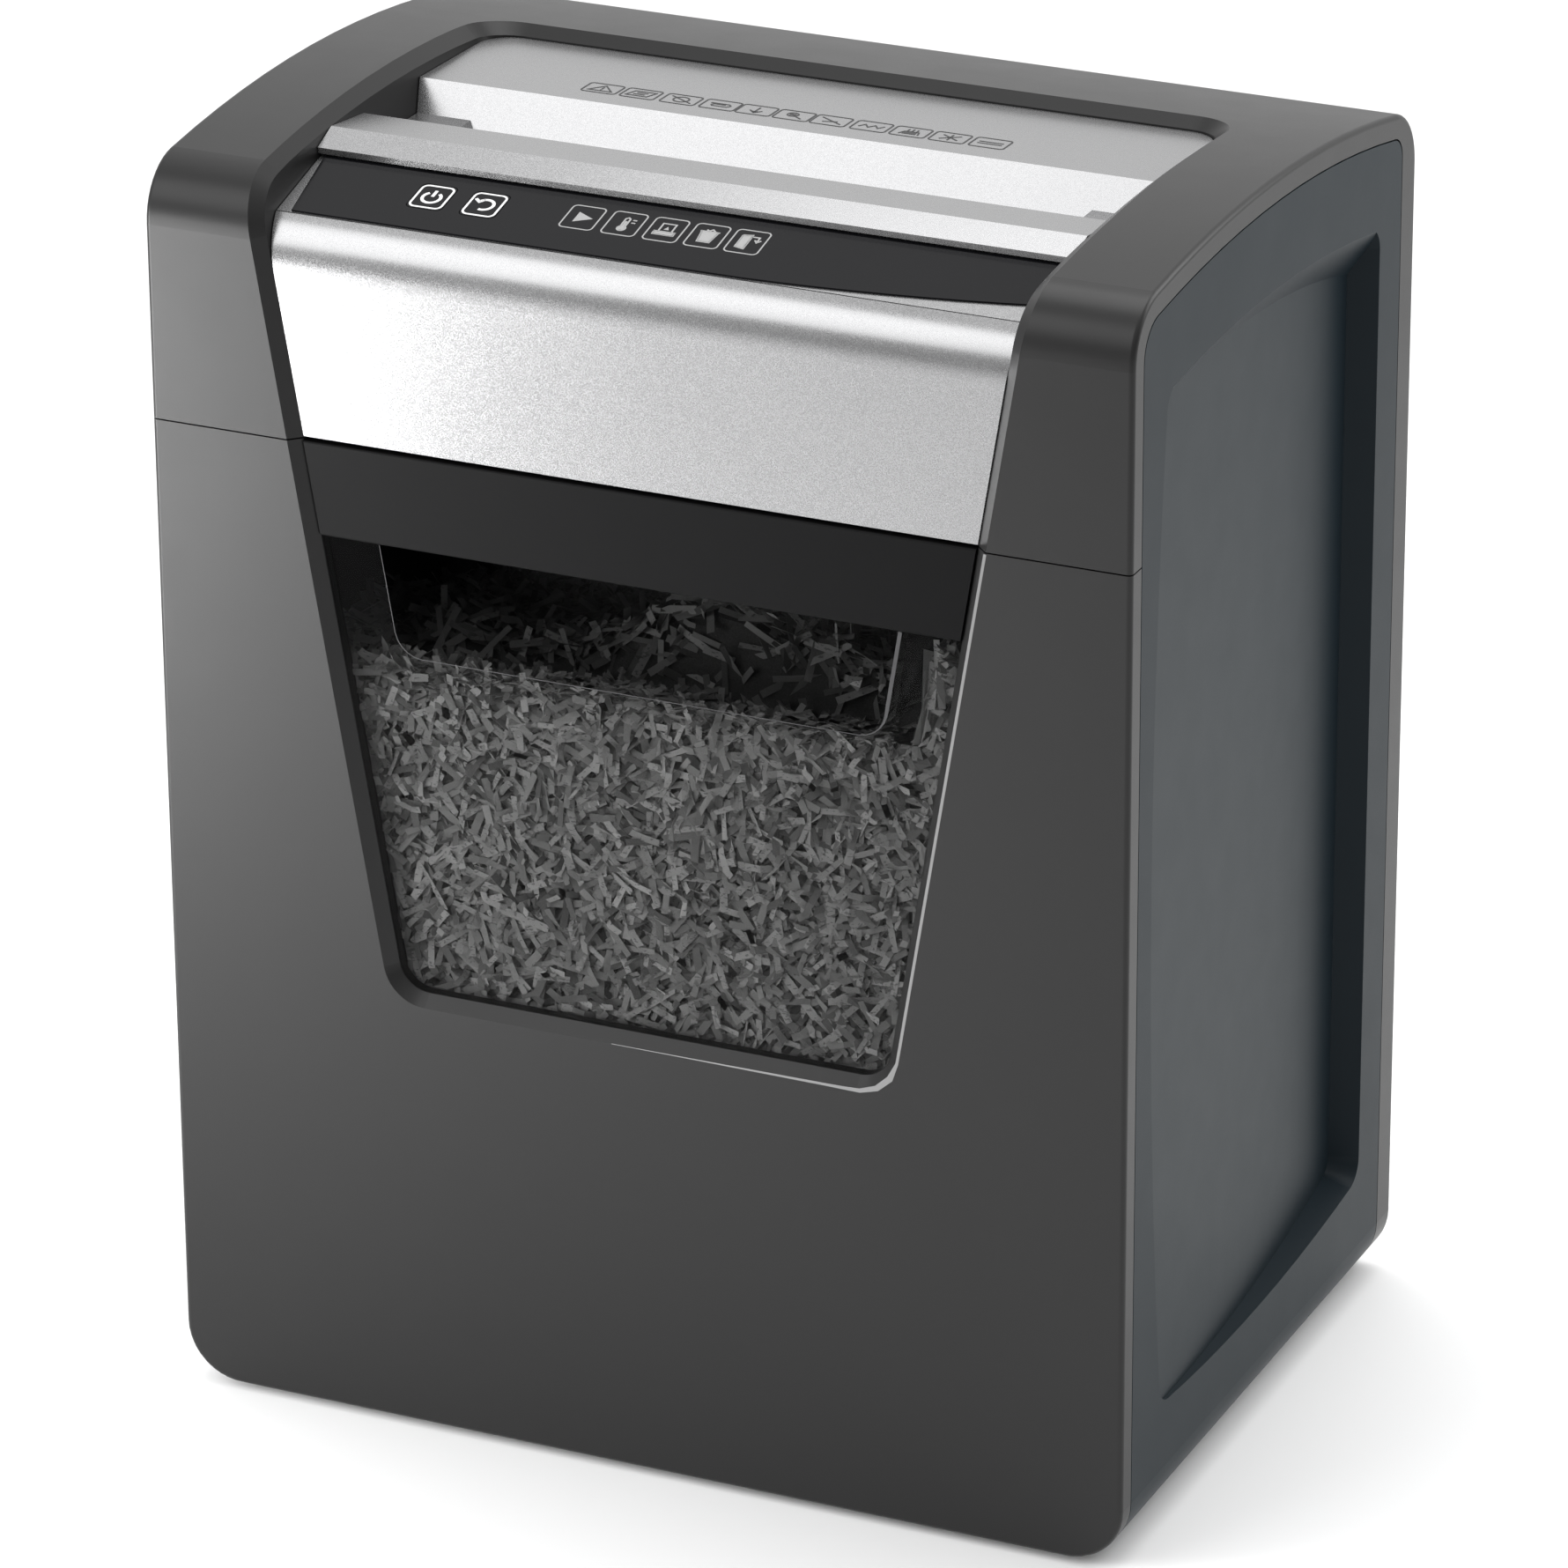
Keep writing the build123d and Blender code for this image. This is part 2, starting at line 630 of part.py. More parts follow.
with BuildPart() as control_board:
    with BuildSketch(slope_plane(BOARD_LOW)):
        with Locations((-27, 20)):
            Rectangle(146, 30)
    extrude(amount=BOARD_TOP - BOARD_LOW)
save(control_board.part, "control_board")

with BuildPart() as board_posts:
    with BuildSketch(slope_plane(BOARD_TOP)):
        with Locations(*BOARD_POSTS):
            Circle(2.5)
    extrude(amount=-2.4 - BOARD_TOP)
save(board_posts.part, "board_posts")

with BuildPart() as key_switches:
    with BuildSketch(slope_plane(BOARD_TOP)):
        with Locations(*[(x, KEY_S) for x in KEY_X]):
            Rectangle(6, 6)
    extrude(amount=2.2)
save(key_switches.part, "key_switches")

with BuildPart() as light_guides:
    with BuildSketch(slope_plane(BOARD_TOP)):
        with Locations(*[(x, KEY_S + 1) for x in LIGHT_X]):
            Circle(LIGHT_R - 0.05)
    extrude(amount=-BOARD_TOP)
save(light_guides.part, "light_guides")

with BuildPart() as board_capacitor:
    with BuildSketch(slope_plane(BOARD_LOW - 16)):
        with Locations((20, 20)):
            Circle(5)
    extrude(amount=16)
save(board_capacitor.part, "board_capacitor")

# ---- feed throat: front lip, ramp with rear plate, and a ledge at each end ----

with BuildPart() as ledge_right:
    add(prism(SLOT_X, WIDTH / 2, LEDGE))
    with BuildSketch(Plane.XZ.offset(60)):
        with BuildLine():
            Polyline(
                (SLOT_X - 1, 414), (SLOT_X, 416),
                (LEDGE_X, LEDGE_Z + 1), (SLOT_X - 1, LEDGE_Z + 1), close=True,
            )
        make_face()
    extrude(amount=-80, mode=Mode.SUBTRACT)

with BuildPart() as feed_throat:
    add(prism(-WIDTH / 2, WIDTH / 2, LIP))
    add(prism(-WIDTH / 2, WIDTH / 2, RAMP))
    add(ledge_right.part)
    add(mirrored(ledge_right.part))
    add(IN_OPENING, mode=Mode.INTERSECT)
save(feed_throat.part, "feed_throat")

with BuildPart() as chute_front:
    add(block(-PLATE_X + 0.1, PLATE_X - 0.1, -25, -23, CHUTE_LOW, 414.4))
save(chute_front.part, "chute_front")

with BuildPart() as chute_rear:
    add(block(-PLATE_X + 0.1, PLATE_X - 0.1, -16.3, -14.3, CHUTE_LOW, 415.4))
save(chute_rear.part, "chute_rear")

save(block(-6, 6, -32, -25.1, 409.6, 413.6), "paper_sensor_front")
save(block(-6, 6, -14.2, -7.5, 409.6, 413.6), "paper_sensor_rear")

# ---------------------------------------------------------------- cutting block


def cutter_plate(x_low, outline, round_holes):
    """Steel side plate of the cutting block with its round holes (y, z, radius)."""
    with BuildPart() as plate:
        add(prism(x_low, x_low + PLATE_T, outline))
        for y, z, radius in round_holes:
            add(rod(x_low - 1, x_low + PLATE_T + 1, y, radius, z=z), mode=Mode.SUBTRACT)
    return plate.part


save(cutter_plate(-PLATE_X - PLATE_T, LEFT_PLATE, SHAFT_HOLES + ROD_HOLES), "cutter_plate_left")
save(cutter_plate(PLATE_X, RIGHT_PLATE, SHAFT_HOLES + ROD_HOLES + DRIVE_HOLES), "cutter_plate_right")

with BuildPart() as tie_rods:
    for y, z in ROD_YZ:
        add(rod(-PLATE_X - 7, PLATE_X + 7, y, ROD_R, z=z))
save(tie_rods.part, "tie_rods")

with BuildPart() as tie_rod_nuts:
    for x_low in (-PLATE_X - 6.2, PLATE_X + PLATE_T):
        for y, z in ROD_YZ:
            with BuildSketch(axle_plane(x_low, y, z)):
                RegularPolygon(6.5, 6)
                Circle(ROD_R, mode=Mode.SUBTRACT)
            extrude(amount=3.2)
save(tie_rod_nuts.part, "tie_rod_nuts")

with BuildPart() as cutter_bearings:
    for x_low in (-PLATE_X - 6, PLATE_X):
        for y in (FRONT_SHAFT_Y, REAR_SHAFT_Y):
            add(rod(x_low, x_low + 6, y, 10.0, SHAFT_R + 0.05))
save(cutter_bearings.part, "cutter_bearings")


def cutter_discs(y, shift):
    """A sleeve of spacers with its row of notched cutting discs."""
    half = DISC_PITCH * (DISC_COUNT - 1) / 2
    with BuildPart() as discs:
        add(rod(-109.4, 109.4, y, SPACER_R, SHAFT_R))
        for number in range(DISC_COUNT):
            x = number * DISC_PITCH - half + shift
            with BuildSketch(axle_plane(x - DISC_T / 2, y)):
                Circle(DISC_R)
                with PolarLocations(DISC_R, 5, start_angle=14 * number):
                    Rectangle(4.5, 3.4, mode=Mode.SUBTRACT)
                Circle(SHAFT_R, mode=Mode.SUBTRACT)
            extrude(amount=DISC_T)
    return discs.part


save(cutter_discs(FRONT_SHAFT_Y, -DISC_PITCH / 4), "cutter_discs_front")
save(cutter_discs(REAR_SHAFT_Y, DISC_PITCH / 4), "cutter_discs_rear")
save(rod(-122, 130, FRONT_SHAFT_Y, SHAFT_R), "cutter_shaft_front")
save(rod(-122, 141, REAR_SHAFT_Y, SHAFT_R), "cutter_shaft_rear")


def stripper(y_bar, y_tip, shift):
    """Comb whose fingers stand between the discs of one shaft."""
    half = DISC_PITCH * (DISC_COUNT - 1) / 2
    inward = 1 if y_tip > y_bar else -1
    y_back = y_bar - 8 * inward
    with BuildPart() as comb:
        add(block(-PLATE_X + 0.1, PLATE_X - 0.1, min(y_bar, y_back), max(y_bar, y_back), 376, 400))
        for number in range(DISC_COUNT - 1):
            x = (number + 0.5) * DISC_PITCH - half + shift
            add(block(x - 1.7, x + 1.7, min(y_bar, y_tip), max(y_bar, y_tip), 384, 392))
    return comb.part


save(stripper(FRONT_BAR_Y, FRONT_SHAFT_Y - SPACER_R - 1, -DISC_PITCH / 4), "stripper_front")
save(stripper(REAR_BAR_Y, REAR_SHAFT_Y + SPACER_R + 1, DISC_PITCH / 4), "stripper_rear")

# ---- gear train ----
save(gear(120, 129, FRONT_SHAFT_Y, GEAR_MODULE, TRANSFER_TEETH, 0, SHAFT_R), "cutter_gear_front")
cutter_gear_rear = gear(
    120, 129, REAR_SHAFT_Y, GEAR_MODULE, TRANSFER_TEETH, 180 / TRANSFER_TEETH, SHAFT_R,
)
save(cutter_gear_rear, "cutter_gear_rear")
save(gear(132, 140, REAR_SHAFT_Y, GEAR_MODULE, DRIVE_TEETH, 0, SHAFT_R), "drive_gear")

with BuildPart() as idler_gear_small:
    add(gear(132, 140, IDLER_Y, GEAR_MODULE, IDLER_SMALL_TEETH, 180 / IDLER_SMALL_TEETH, 5.05))
    add(rod(140, 142, IDLER_Y, 8.5, 5.05))
save(idler_gear_small.part, "idler_gear_small")
save(gear(142, 148, IDLER_Y, FINE_MODULE, IDLER_LARGE_TEETH, 0, 5.05), "idler_gear_large")
save(rod(PLATE_X, 148.6, IDLER_Y, 5.0), "idler_axle")

with BuildPart() as gear_cover:
    add(block(PLATE_X + PLATE_T, 150.4, -62, -4, 350, 414.6))
    add(block(PLATE_X + PLATE_T, 150.4, -4, 84, 350, 424))
    add(block(PLATE_X, 148.8, -60.4, -4, 351.6, 413.8), mode=Mode.SUBTRACT)
    add(block(PLATE_X, 148.8, -4.1, 82.4, 351.6, 422.4), mode=Mode.SUBTRACT)
save(gear_cover.part, "gear_cover")

# ---- motor ----
with BuildPart() as motor_can:
    add(rod(MOTOR_END, PLATE_X - 3, MOTOR_Y, MOTOR_R, MOTOR_R - 3))
    add(rod(PLATE_X - 3, PLATE_X, MOTOR_Y, MOTOR_R, 4.1))
save(motor_can.part, "motor_can")

with BuildPart() as motor_end_cap:
    add(rod(MOTOR_END - 3, MOTOR_END, MOTOR_Y, MOTOR_R, 4.1))
    with BuildSketch(axle_plane(MOTOR_END - 4, MOTOR_Y)):
        with PolarLocations(16, 8):
            SlotOverall(12, 4)
    extrude(amount=5, mode=Mode.SUBTRACT)
save(motor_end_cap.part, "motor_end_cap")

with BuildPart() as motor_rotor:
    add(rod(MOTOR_END - 5, 148.5, MOTOR_Y, 4.0))
    add(rod(MOTOR_END + 14, PLATE_X - 14, MOTOR_Y, MOTOR_R - 5))
save(motor_rotor.part, "motor_rotor")
save(gear(142, 148, MOTOR_Y, FINE_MODULE, PINION_TEETH, 180 / PINION_TEETH, 4.0), "motor_pinion")

with BuildPart() as motor_saddle:
    add(block(50, 92, MOTOR_Y - 22, MOTOR_Y + 22, DECK_Z + DECK_T, 372))
    add(rod(40, 100, MOTOR_Y, MOTOR_R + 0.1), mode=Mode.SUBTRACT)
save(motor_saddle.part, "motor_saddle")
motor_top = SHAFT_Z + MOTOR_R
save(block(60, 78, MOTOR_Y - 6, MOTOR_Y + 6, motor_top + 0.1, motor_top + 4.5), "thermal_cutout")
save(block(128, 146, -102, -88, DECK_Z - 4, DECK_Z), "bin_sensor")

# ---------------------------------------------------------------- pull-out bin

with BuildPart() as bin_collar:
    add(CASING)
    add(opening_form(COLLAR_WALL), mode=Mode.INTERSECT)
    add(casing_form(BIN_COLLAR), mode=Mode.SUBTRACT)
    add(ABOVE_SEAM, mode=Mode.SUBTRACT)

with BuildPart() as bin_front:
    add(CASING)
    add(CAVITY, mode=Mode.SUBTRACT)
    add(block(-WIDTH, WIDTH, Y_FRONT + FLANGE_FRONT, DEPTH, -10, 2 * HEIGHT), mode=Mode.SUBTRACT)
    add(ABOVE_SEAM, mode=Mode.SUBTRACT)
    add(bin_collar.part)
    with BuildSketch(Plane.XZ.offset(-TUB_FRONT)):
        with Locations(*BIN_SCREWS):
            Circle(4)
    extrude(amount=Y_FRONT * -1 - WALL + TUB_FRONT)
    with BuildSketch(Plane.XZ.offset(-TUB_FRONT)):
        with Locations(*BIN_SCREWS):
            Circle(1.8)
    extrude(amount=4.2, mode=Mode.SUBTRACT)
save(bin_front.part, "bin_front")

def pocket_outline(y, grow):
    """Front view of the hand pocket, grown all round."""
    low = POCKET_HALF + grow
    high = POCKET_HALF + OPEN_SLOPE * (POCKET_TOP - POCKET_Z) + grow
    with BuildSketch(Plane.XZ.offset(-y)) as outline:
        with BuildLine():
            Polyline(
                (-low, POCKET_Z - grow), (low, POCKET_Z - grow),
                (high, POCKET_TOP + grow), (-high, POCKET_TOP + grow), close=True,
            )
        make_face()
        fillet(outline.vertices().group_by(Axis.Y)[0], 10 + grow)
    return outline.sketch


with BuildPart() as bin_window:
    extrude(
        open_outline(PANEL_FACE_Y, FIT, WINDOW_Z + FIT, GRIP_Z, WINDOW_R - FIT),
        amount=-WINDOW_T,
    )
    extrude(pocket_outline(PANEL_FACE_Y + WINDOW_T, 2), amount=PANEL_FACE_Y + WINDOW_T - POCKET_BACK - 2)
    extrude(pocket_outline(Y_FRONT, 0), amount=Y_FRONT - POCKET_BACK, mode=Mode.SUBTRACT)
save(bin_window.part, "bin_window")

with BuildPart() as bin_grip:
    extrude(
        open_outline(PANEL_FACE_Y - GRIP_PROUD, FIT, GRIP_Z + 0.2, SEAM_Z - 0.6),
        amount=-WINDOW_T - GRIP_PROUD,
    )
    fillet(bin_grip.edges().filter_by(Axis.X).group_by(Axis.Y)[0], 0.7)
save(bin_grip.part, "bin_grip")

with BuildPart() as bin_tub:
    with BuildSketch(Plane.XY.offset(TUB_Z)):
        with Locations((0, (TUB_FRONT + TUB_REAR) / 2)):
            RectangleRounded(2 * TUB_HALF, TUB_REAR - TUB_FRONT, 10)
    extrude(amount=TUB_TOP - TUB_Z)
    with BuildSketch(Plane.XY.offset(TUB_Z + TUB_WALL)):
        with Locations((0, (TUB_FRONT + TUB_REAR) / 2)):
            RectangleRounded(2 * (TUB_HALF - TUB_WALL), TUB_REAR - TUB_FRONT - 2 * TUB_WALL, 10 - TUB_WALL)
    extrude(amount=TUB_TOP, mode=Mode.SUBTRACT)
    extrude(
        open_outline(TUB_FRONT - 1, -1, WINDOW_Z - 2, TUB_TOP + 10, WINDOW_R),
        amount=-TUB_WALL - 2, mode=Mode.SUBTRACT,
    )
    with BuildSketch(Plane.XZ.offset(-TUB_FRONT)):
        with Locations(*BIN_SCREWS):
            Circle(2.0)
    extrude(amount=-TUB_WALL, mode=Mode.SUBTRACT)
save(bin_tub.part, "bin_tub")

with BuildPart() as bin_front_screws:
    with BuildSketch(Plane.XZ.offset(-TUB_FRONT - TUB_WALL)):
        with Locations(*BIN_SCREWS):
            Circle(1.75)
    extrude(amount=TUB_WALL + 3.9)
    with BuildSketch(Plane.XZ.offset(-TUB_FRONT - TUB_WALL)):
        with Locations(*BIN_SCREWS):
            Circle(3.4)
    extrude(amount=-1.8)
save(bin_front_screws.part, "bin_front_screws")
save(block(134, TUB_HALF - TUB_WALL, -100, -90, TUB_TOP - 9, TUB_TOP - 1), "bin_magnet")

# the heap of shredded paper: low behind the window, heaped under the drop-through

with BuildPart() as shredded_paper:
    with BuildSketch(Plane.YZ.offset(-HEAP_HALF)):
        with BuildLine():
            Polyline(
                (HEAP_REAR, 240), (HEAP_REAR, HEAP_FLOOR), (HEAP_FRONT, HEAP_FLOOR),
                (HEAP_FRONT, 266), (POCKET_BACK + 4, 274),
            )
            ThreePointArc((POCKET_BACK + 4, 274), (-10, 300), (HEAP_REAR, 240))
        make_face()
    extrude(amount=2 * HEAP_HALF)
    with BuildSketch(Plane.XZ.offset(DEPTH)):
        with BuildLine():
            Polyline((HEAP_HALF, 262), (HEAP_HALF, HEAP_FLOOR), (-HEAP_HALF, HEAP_FLOOR), (-HEAP_HALF, 250))
            ThreePointArc((-HEAP_HALF, 250), (0, 301), (HEAP_HALF, 262))
        make_face()
    extrude(amount=-2 * DEPTH, mode=Mode.INTERSECT)
    fillet(shredded_paper.edges().filter_by(Axis.Z), 8.5)
save(shredded_paper.part, "shredded_paper")
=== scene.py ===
"""A deskside paper shredder with a smoked-window bin: finishes, shreds, marks, light and camera."""

import json
import logging
import math
from collections.abc import Sequence
from dataclasses import dataclass, field
from enum import Enum
from typing import Any

import bpy
import numpy as np
from mathutils import Matrix, Vector


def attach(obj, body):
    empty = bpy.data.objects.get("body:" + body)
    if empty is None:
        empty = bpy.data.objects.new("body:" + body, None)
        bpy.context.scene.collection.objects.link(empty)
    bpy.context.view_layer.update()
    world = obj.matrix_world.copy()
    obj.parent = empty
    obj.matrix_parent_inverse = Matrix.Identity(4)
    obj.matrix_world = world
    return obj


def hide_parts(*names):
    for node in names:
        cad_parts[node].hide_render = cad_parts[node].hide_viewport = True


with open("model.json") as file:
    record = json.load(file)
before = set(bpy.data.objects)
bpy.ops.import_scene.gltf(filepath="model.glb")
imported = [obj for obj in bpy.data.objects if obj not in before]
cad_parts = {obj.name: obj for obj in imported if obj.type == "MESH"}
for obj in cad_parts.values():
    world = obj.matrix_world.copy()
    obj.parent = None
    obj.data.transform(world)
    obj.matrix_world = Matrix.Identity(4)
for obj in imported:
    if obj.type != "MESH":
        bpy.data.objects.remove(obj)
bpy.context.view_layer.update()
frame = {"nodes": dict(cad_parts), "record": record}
LOG = logging.getLogger("shredder")
MM = 0.001
Colour = tuple[float, float, float]
Point = tuple[float, float]
Array = np.ndarray
Values = dict[str | int, Any]


# ---------------------------------------------------------------- shader graphs
class Wire:
    """One output socket of a material's graph; arithmetic on it adds Math nodes."""

    def __init__(self, graph: "Graph", socket: bpy.types.NodeSocket) -> None:
        """Keep the graph and the socket."""
        self.graph = graph
        self.socket = socket

    def _math(self, operation: str, first: Any, second: Any = None) -> "Wire":
        """Add a Math node.

        Args:
            operation: The Math node's operation.
            first: Its first value or wire.
            second: Its second value or wire, if it has one.

        Returns:
            The node's result.
        """
        values = {0: first} if second is None else {0: first, 1: second}
        return self.graph.node("ShaderNodeMath", {"operation": operation}, values)

    def __add__(self, other: Any) -> "Wire":
        """Sum."""
        return self._math("ADD", self, other)

    __radd__ = __add__

    def __mul__(self, other: Any) -> "Wire":
        """Product."""
        return self._math("MULTIPLY", self, other)

    __rmul__ = __mul__

    def __sub__(self, other: Any) -> "Wire":
        """Difference."""
        return self._math("SUBTRACT", self, other)

    def __rsub__(self, other: Any) -> "Wire":
        """Difference from a number."""
        return self._math("SUBTRACT", other, self)

    def __gt__(self, other: Any) -> "Wire":
        """1 where the wire is above other, and 0 elsewhere."""
        return self._math("GREATER_THAN", self, other)

    def fraction(self) -> "Wire":
        """The part after the decimal point."""
        return self._math("FRACT", self)

    def clamped(self) -> "Wire":
        """The value held between 0 and 1."""
        return self.graph.node("ShaderNodeClamp", {}, {"Value": self})


class Graph:
    """A node tree, with short ways to add nodes to it."""

    def __init__(self, tree: bpy.types.NodeTree) -> None:
        """Work on that tree."""
        self.tree = tree
        self._position: Wire | None = None

    def node(
        self,
        kind: str,
        settings: dict[str, Any] | None = None,
        values: Values | None = None,
        output: str | int = 0,
    ) -> Wire:
        """Add any node.

        Args:
            kind: The node's type name.
            settings: Its settings; "stops" fills a colour ramp.
            values: Numbers, colours or wires for its input sockets.
            output: Which output to return.

        Returns:
            A wire on that output.
        """
        made = self.tree.nodes.new(kind)
        for key, value in (settings or {}).items():
            if key == "stops":
                self._fill_ramp(made.color_ramp, value)
            else:
                setattr(made, key, value)
        for key, value in (values or {}).items():
            if isinstance(value, Wire):
                self.tree.links.new(value.socket, made.inputs[key])
            elif isinstance(value, tuple) and len(value) == 3 and made.inputs[key].type == "RGBA":
                made.inputs[key].default_value = (*value, 1.0)
            else:
                made.inputs[key].default_value = value
        return Wire(self, made.outputs[output])

    @staticmethod
    def _fill_ramp(ramp: bpy.types.ColorRamp, stops: list[tuple[float, float]]) -> None:
        """Set a grey ramp's stops, each a position and a grey level."""
        while len(ramp.elements) < len(stops):
            ramp.elements.new(0.5)
        for element, (position, level) in zip(ramp.elements, stops):
            element.position = position
            element.color = (level, level, level, 1.0)

    def position(self) -> Wire:
        """Object coordinates, which are metres in the row frame."""
        if self._position is None:
            self._position = self.node("ShaderNodeTexCoord", {}, {}, "Object")
        return self._position

    def stretched(self, scale: tuple[float, float, float]) -> Wire:
        """Object coordinates scaled along each axis."""
        return self.node("ShaderNodeMapping", {}, {"Vector": self.position(), "Scale": scale})

    def noise(self, scale: float, detail: float = 3.0, vector: Wire | None = None) -> Wire:
        """Smooth noise from 0 to 1.

        Args:
            scale: Cells per metre.
            detail: Octaves.
            vector: Where it is read; Object coordinates if left out.

        Returns:
            The noise value.
        """
        values = {"Vector": vector or self.position(), "Scale": scale, "Detail": detail}
        return self.node("ShaderNodeTexNoise", {}, values)

    def cells(self, scale: float, vector: Wire | None = None) -> Wire:
        """Distance to the nearest point of a Voronoi pattern."""
        values = {"Vector": vector or self.position(), "Scale": scale}
        return self.node("ShaderNodeTexVoronoi", {}, values)

    def blend(self, share: Any, low: Any, high: Any) -> Wire:
        """Mix of two colours by a share from 0 to 1."""
        made = self.tree.nodes.new("ShaderNodeMix")
        made.data_type = "RGBA"
        for socket, value in zip((made.inputs[0], made.inputs[6], made.inputs[7]), (share, low, high)):
            if isinstance(value, Wire):
                self.tree.links.new(value.socket, socket)
            elif isinstance(value, tuple):
                socket.default_value = (*value, 1.0)
            else:
                socket.default_value = value
        return Wire(self, made.outputs[2])

    def edge_wear_and_sheen(self, soft: float = 0.55, hard: float = 0.66) -> Wire:
        """Near 1 on sharp outer edges and 0 on flat faces."""
        point = self.node("ShaderNodeNewGeometry", {}, {}, "Pointiness")
        return self.node("ShaderNodeValToRGB", {"stops": [(soft, 0.0), (hard, 1.0)]}, {"Fac": point})

    def bump(self, height: Wire, strength: float, distance: float) -> Wire:
        """Normal from a height.

        Args:
            height: Height from 0 to 1.
            strength: How strongly it shows.
            distance: Height of 1 in metres.

        Returns:
            The bent normal.
        """
        values = {"Height": height, "Strength": strength, "Distance": distance}
        return self.node("ShaderNodeBump", {}, values)


class MaterialGraph(Graph):
    """A material and the nodes that make its surface."""

    def __init__(self, name: str) -> None:
        """Start an empty material of that name."""
        self.material = bpy.data.materials.new(name)
        self.material.use_nodes = True
        super().__init__(self.material.node_tree)
        self.tree.nodes.clear()

    def surface(self, values: Values) -> bpy.types.Material:
        """Finish the material with one Principled shader.

        Args:
            values: Numbers, colours or wires for the shader's inputs.

        Returns:
            The material.
        """
        shader = self.node("ShaderNodeBsdfPrincipled", {}, values)
        end = self.tree.nodes.new("ShaderNodeOutputMaterial")
        self.tree.links.new(shader.socket, end.inputs["Surface"])
        return self.material


def brighter(colour: Colour, factor: float) -> Colour:
    """A colour with every channel multiplied by a factor, held below 1."""
    red, green, blue = (min(channel * factor, 1.0) for channel in colour)
    return red, green, blue


# ---------------------------------------------------------------- finishes
@dataclass(frozen=True)
class Finish:
    """A material with a name and a base colour."""

    name: str
    colour: Colour

    def values(self, g: MaterialGraph) -> Values:
        """The shader's inputs."""
        raise NotImplementedError

    def material(self) -> bpy.types.Material:
        """Build the material."""
        g = MaterialGraph(self.name)
        return g.surface(self.values(g))


@dataclass(frozen=True)
class MouldedPlastic(Finish):
    """Spark-eroded moulded plastic: fine grain, faint flow mottling, and sharp edges lightened, as wear and
    as a painted sheen of polish.
    """

    roughness: float = 0.42
    grain_per_m: float = 2600.0
    grain: float = 0.10
    grain_height: float = 0.00006
    shine: float = 0.5

    def values(self, g: MaterialGraph) -> Values:
        """The shader's inputs."""
        grain = g.noise(self.grain_per_m, 2.0)
        flow = g.noise(9.0, 4.0)
        rub = g.noise(60.0, 3.0)
        base = g.blend(flow, brighter(self.colour, 0.92), brighter(self.colour, 1.08))
        # Painted highlight: sharp edges are lightened, as wear and as the sheen of polished edges.
        base = g.blend(g.edge_wear_and_sheen() * 0.35, base, brighter(self.colour, 1.5))
        rough = grain * 0.06 + rub * 0.05 + (self.roughness - 0.055)
        return {
            "Base Color": base,
            "Roughness": rough,
            "Specular IOR Level": self.shine,
            "Normal": g.bump(grain, self.grain, self.grain_height),
        }


@dataclass(frozen=True)
class SilverSatin(Finish):
    """Silver lacquer on plastic: fine metal flakes under a satin clear coat."""

    roughness: float = 0.24

    def values(self, g: MaterialGraph) -> Values:
        """The shader's inputs."""
        flakes = g.node("ShaderNodeTexVoronoi", {}, {"Vector": g.position(), "Scale": 3600.0}, "Color")
        level = g.node("ShaderNodeSeparateColor", {}, {"Color": flakes}, "Red")
        drift = g.noise(14.0, 3.0)
        base = g.blend(level, brighter(self.colour, 0.86), brighter(self.colour, 1.12))
        base = g.blend(drift * 0.4, base, brighter(self.colour, 1.03))
        return {
            "Base Color": base,
            "Metallic": level * 0.16 + 0.80,
            "Roughness": level * 0.10 + drift * 0.05 + (self.roughness - 0.07),
            "Normal": g.bump(g.noise(1800.0, 2.0), 0.05, 0.00005),
        }


@dataclass(frozen=True)
class GlossPlastic(Finish):
    """Gloss plastic with hairline wiping marks and a little dust."""

    roughness: float = 0.10
    shine: float = 0.35
    dust: Colour = (0.10, 0.10, 0.10)

    def values(self, g: MaterialGraph) -> Values:
        """The shader's inputs."""
        wipes = g.noise(240.0, 2.0, g.stretched((0.06, 1.0, 1.0)))
        smudge = g.noise(36.0, 4.0)
        specks = 1.0 - (g.cells(900.0) > 0.09)
        base = g.blend(specks * smudge * 0.22, self.colour, self.dust)
        return {
            "Base Color": base,
            "Roughness": wipes * 0.06 + smudge * 0.07 + (self.roughness - 0.05),
            "Specular IOR Level": self.shine,
            "Normal": g.bump(smudge, 0.03, 0.0002),
        }


@dataclass(frozen=True)
class SmokedWindow(Finish):
    """Transparent smoked plastic, with dust that clings to it from inside."""

    alpha: float = 0.37

    def values(self, g: MaterialGraph) -> Values:
        """The shader's inputs."""
        dust = g.noise(420.0, 5.0) * g.noise(22.0, 3.0)
        haze = g.node("ShaderNodeValToRGB", {"stops": [(0.28, 0.0), (0.60, 1.0)]}, {"Fac": dust})
        return {
            "Base Color": g.blend(haze * 0.25, self.colour, (0.02, 0.02, 0.02)),
            "Roughness": haze * 0.08 + 0.04,
            "Alpha": haze * 0.05 + self.alpha,
            "Specular IOR Level": 0.05,
            "Normal": g.bump(g.noise(30.0, 2.0), 0.02, 0.0004),
        }


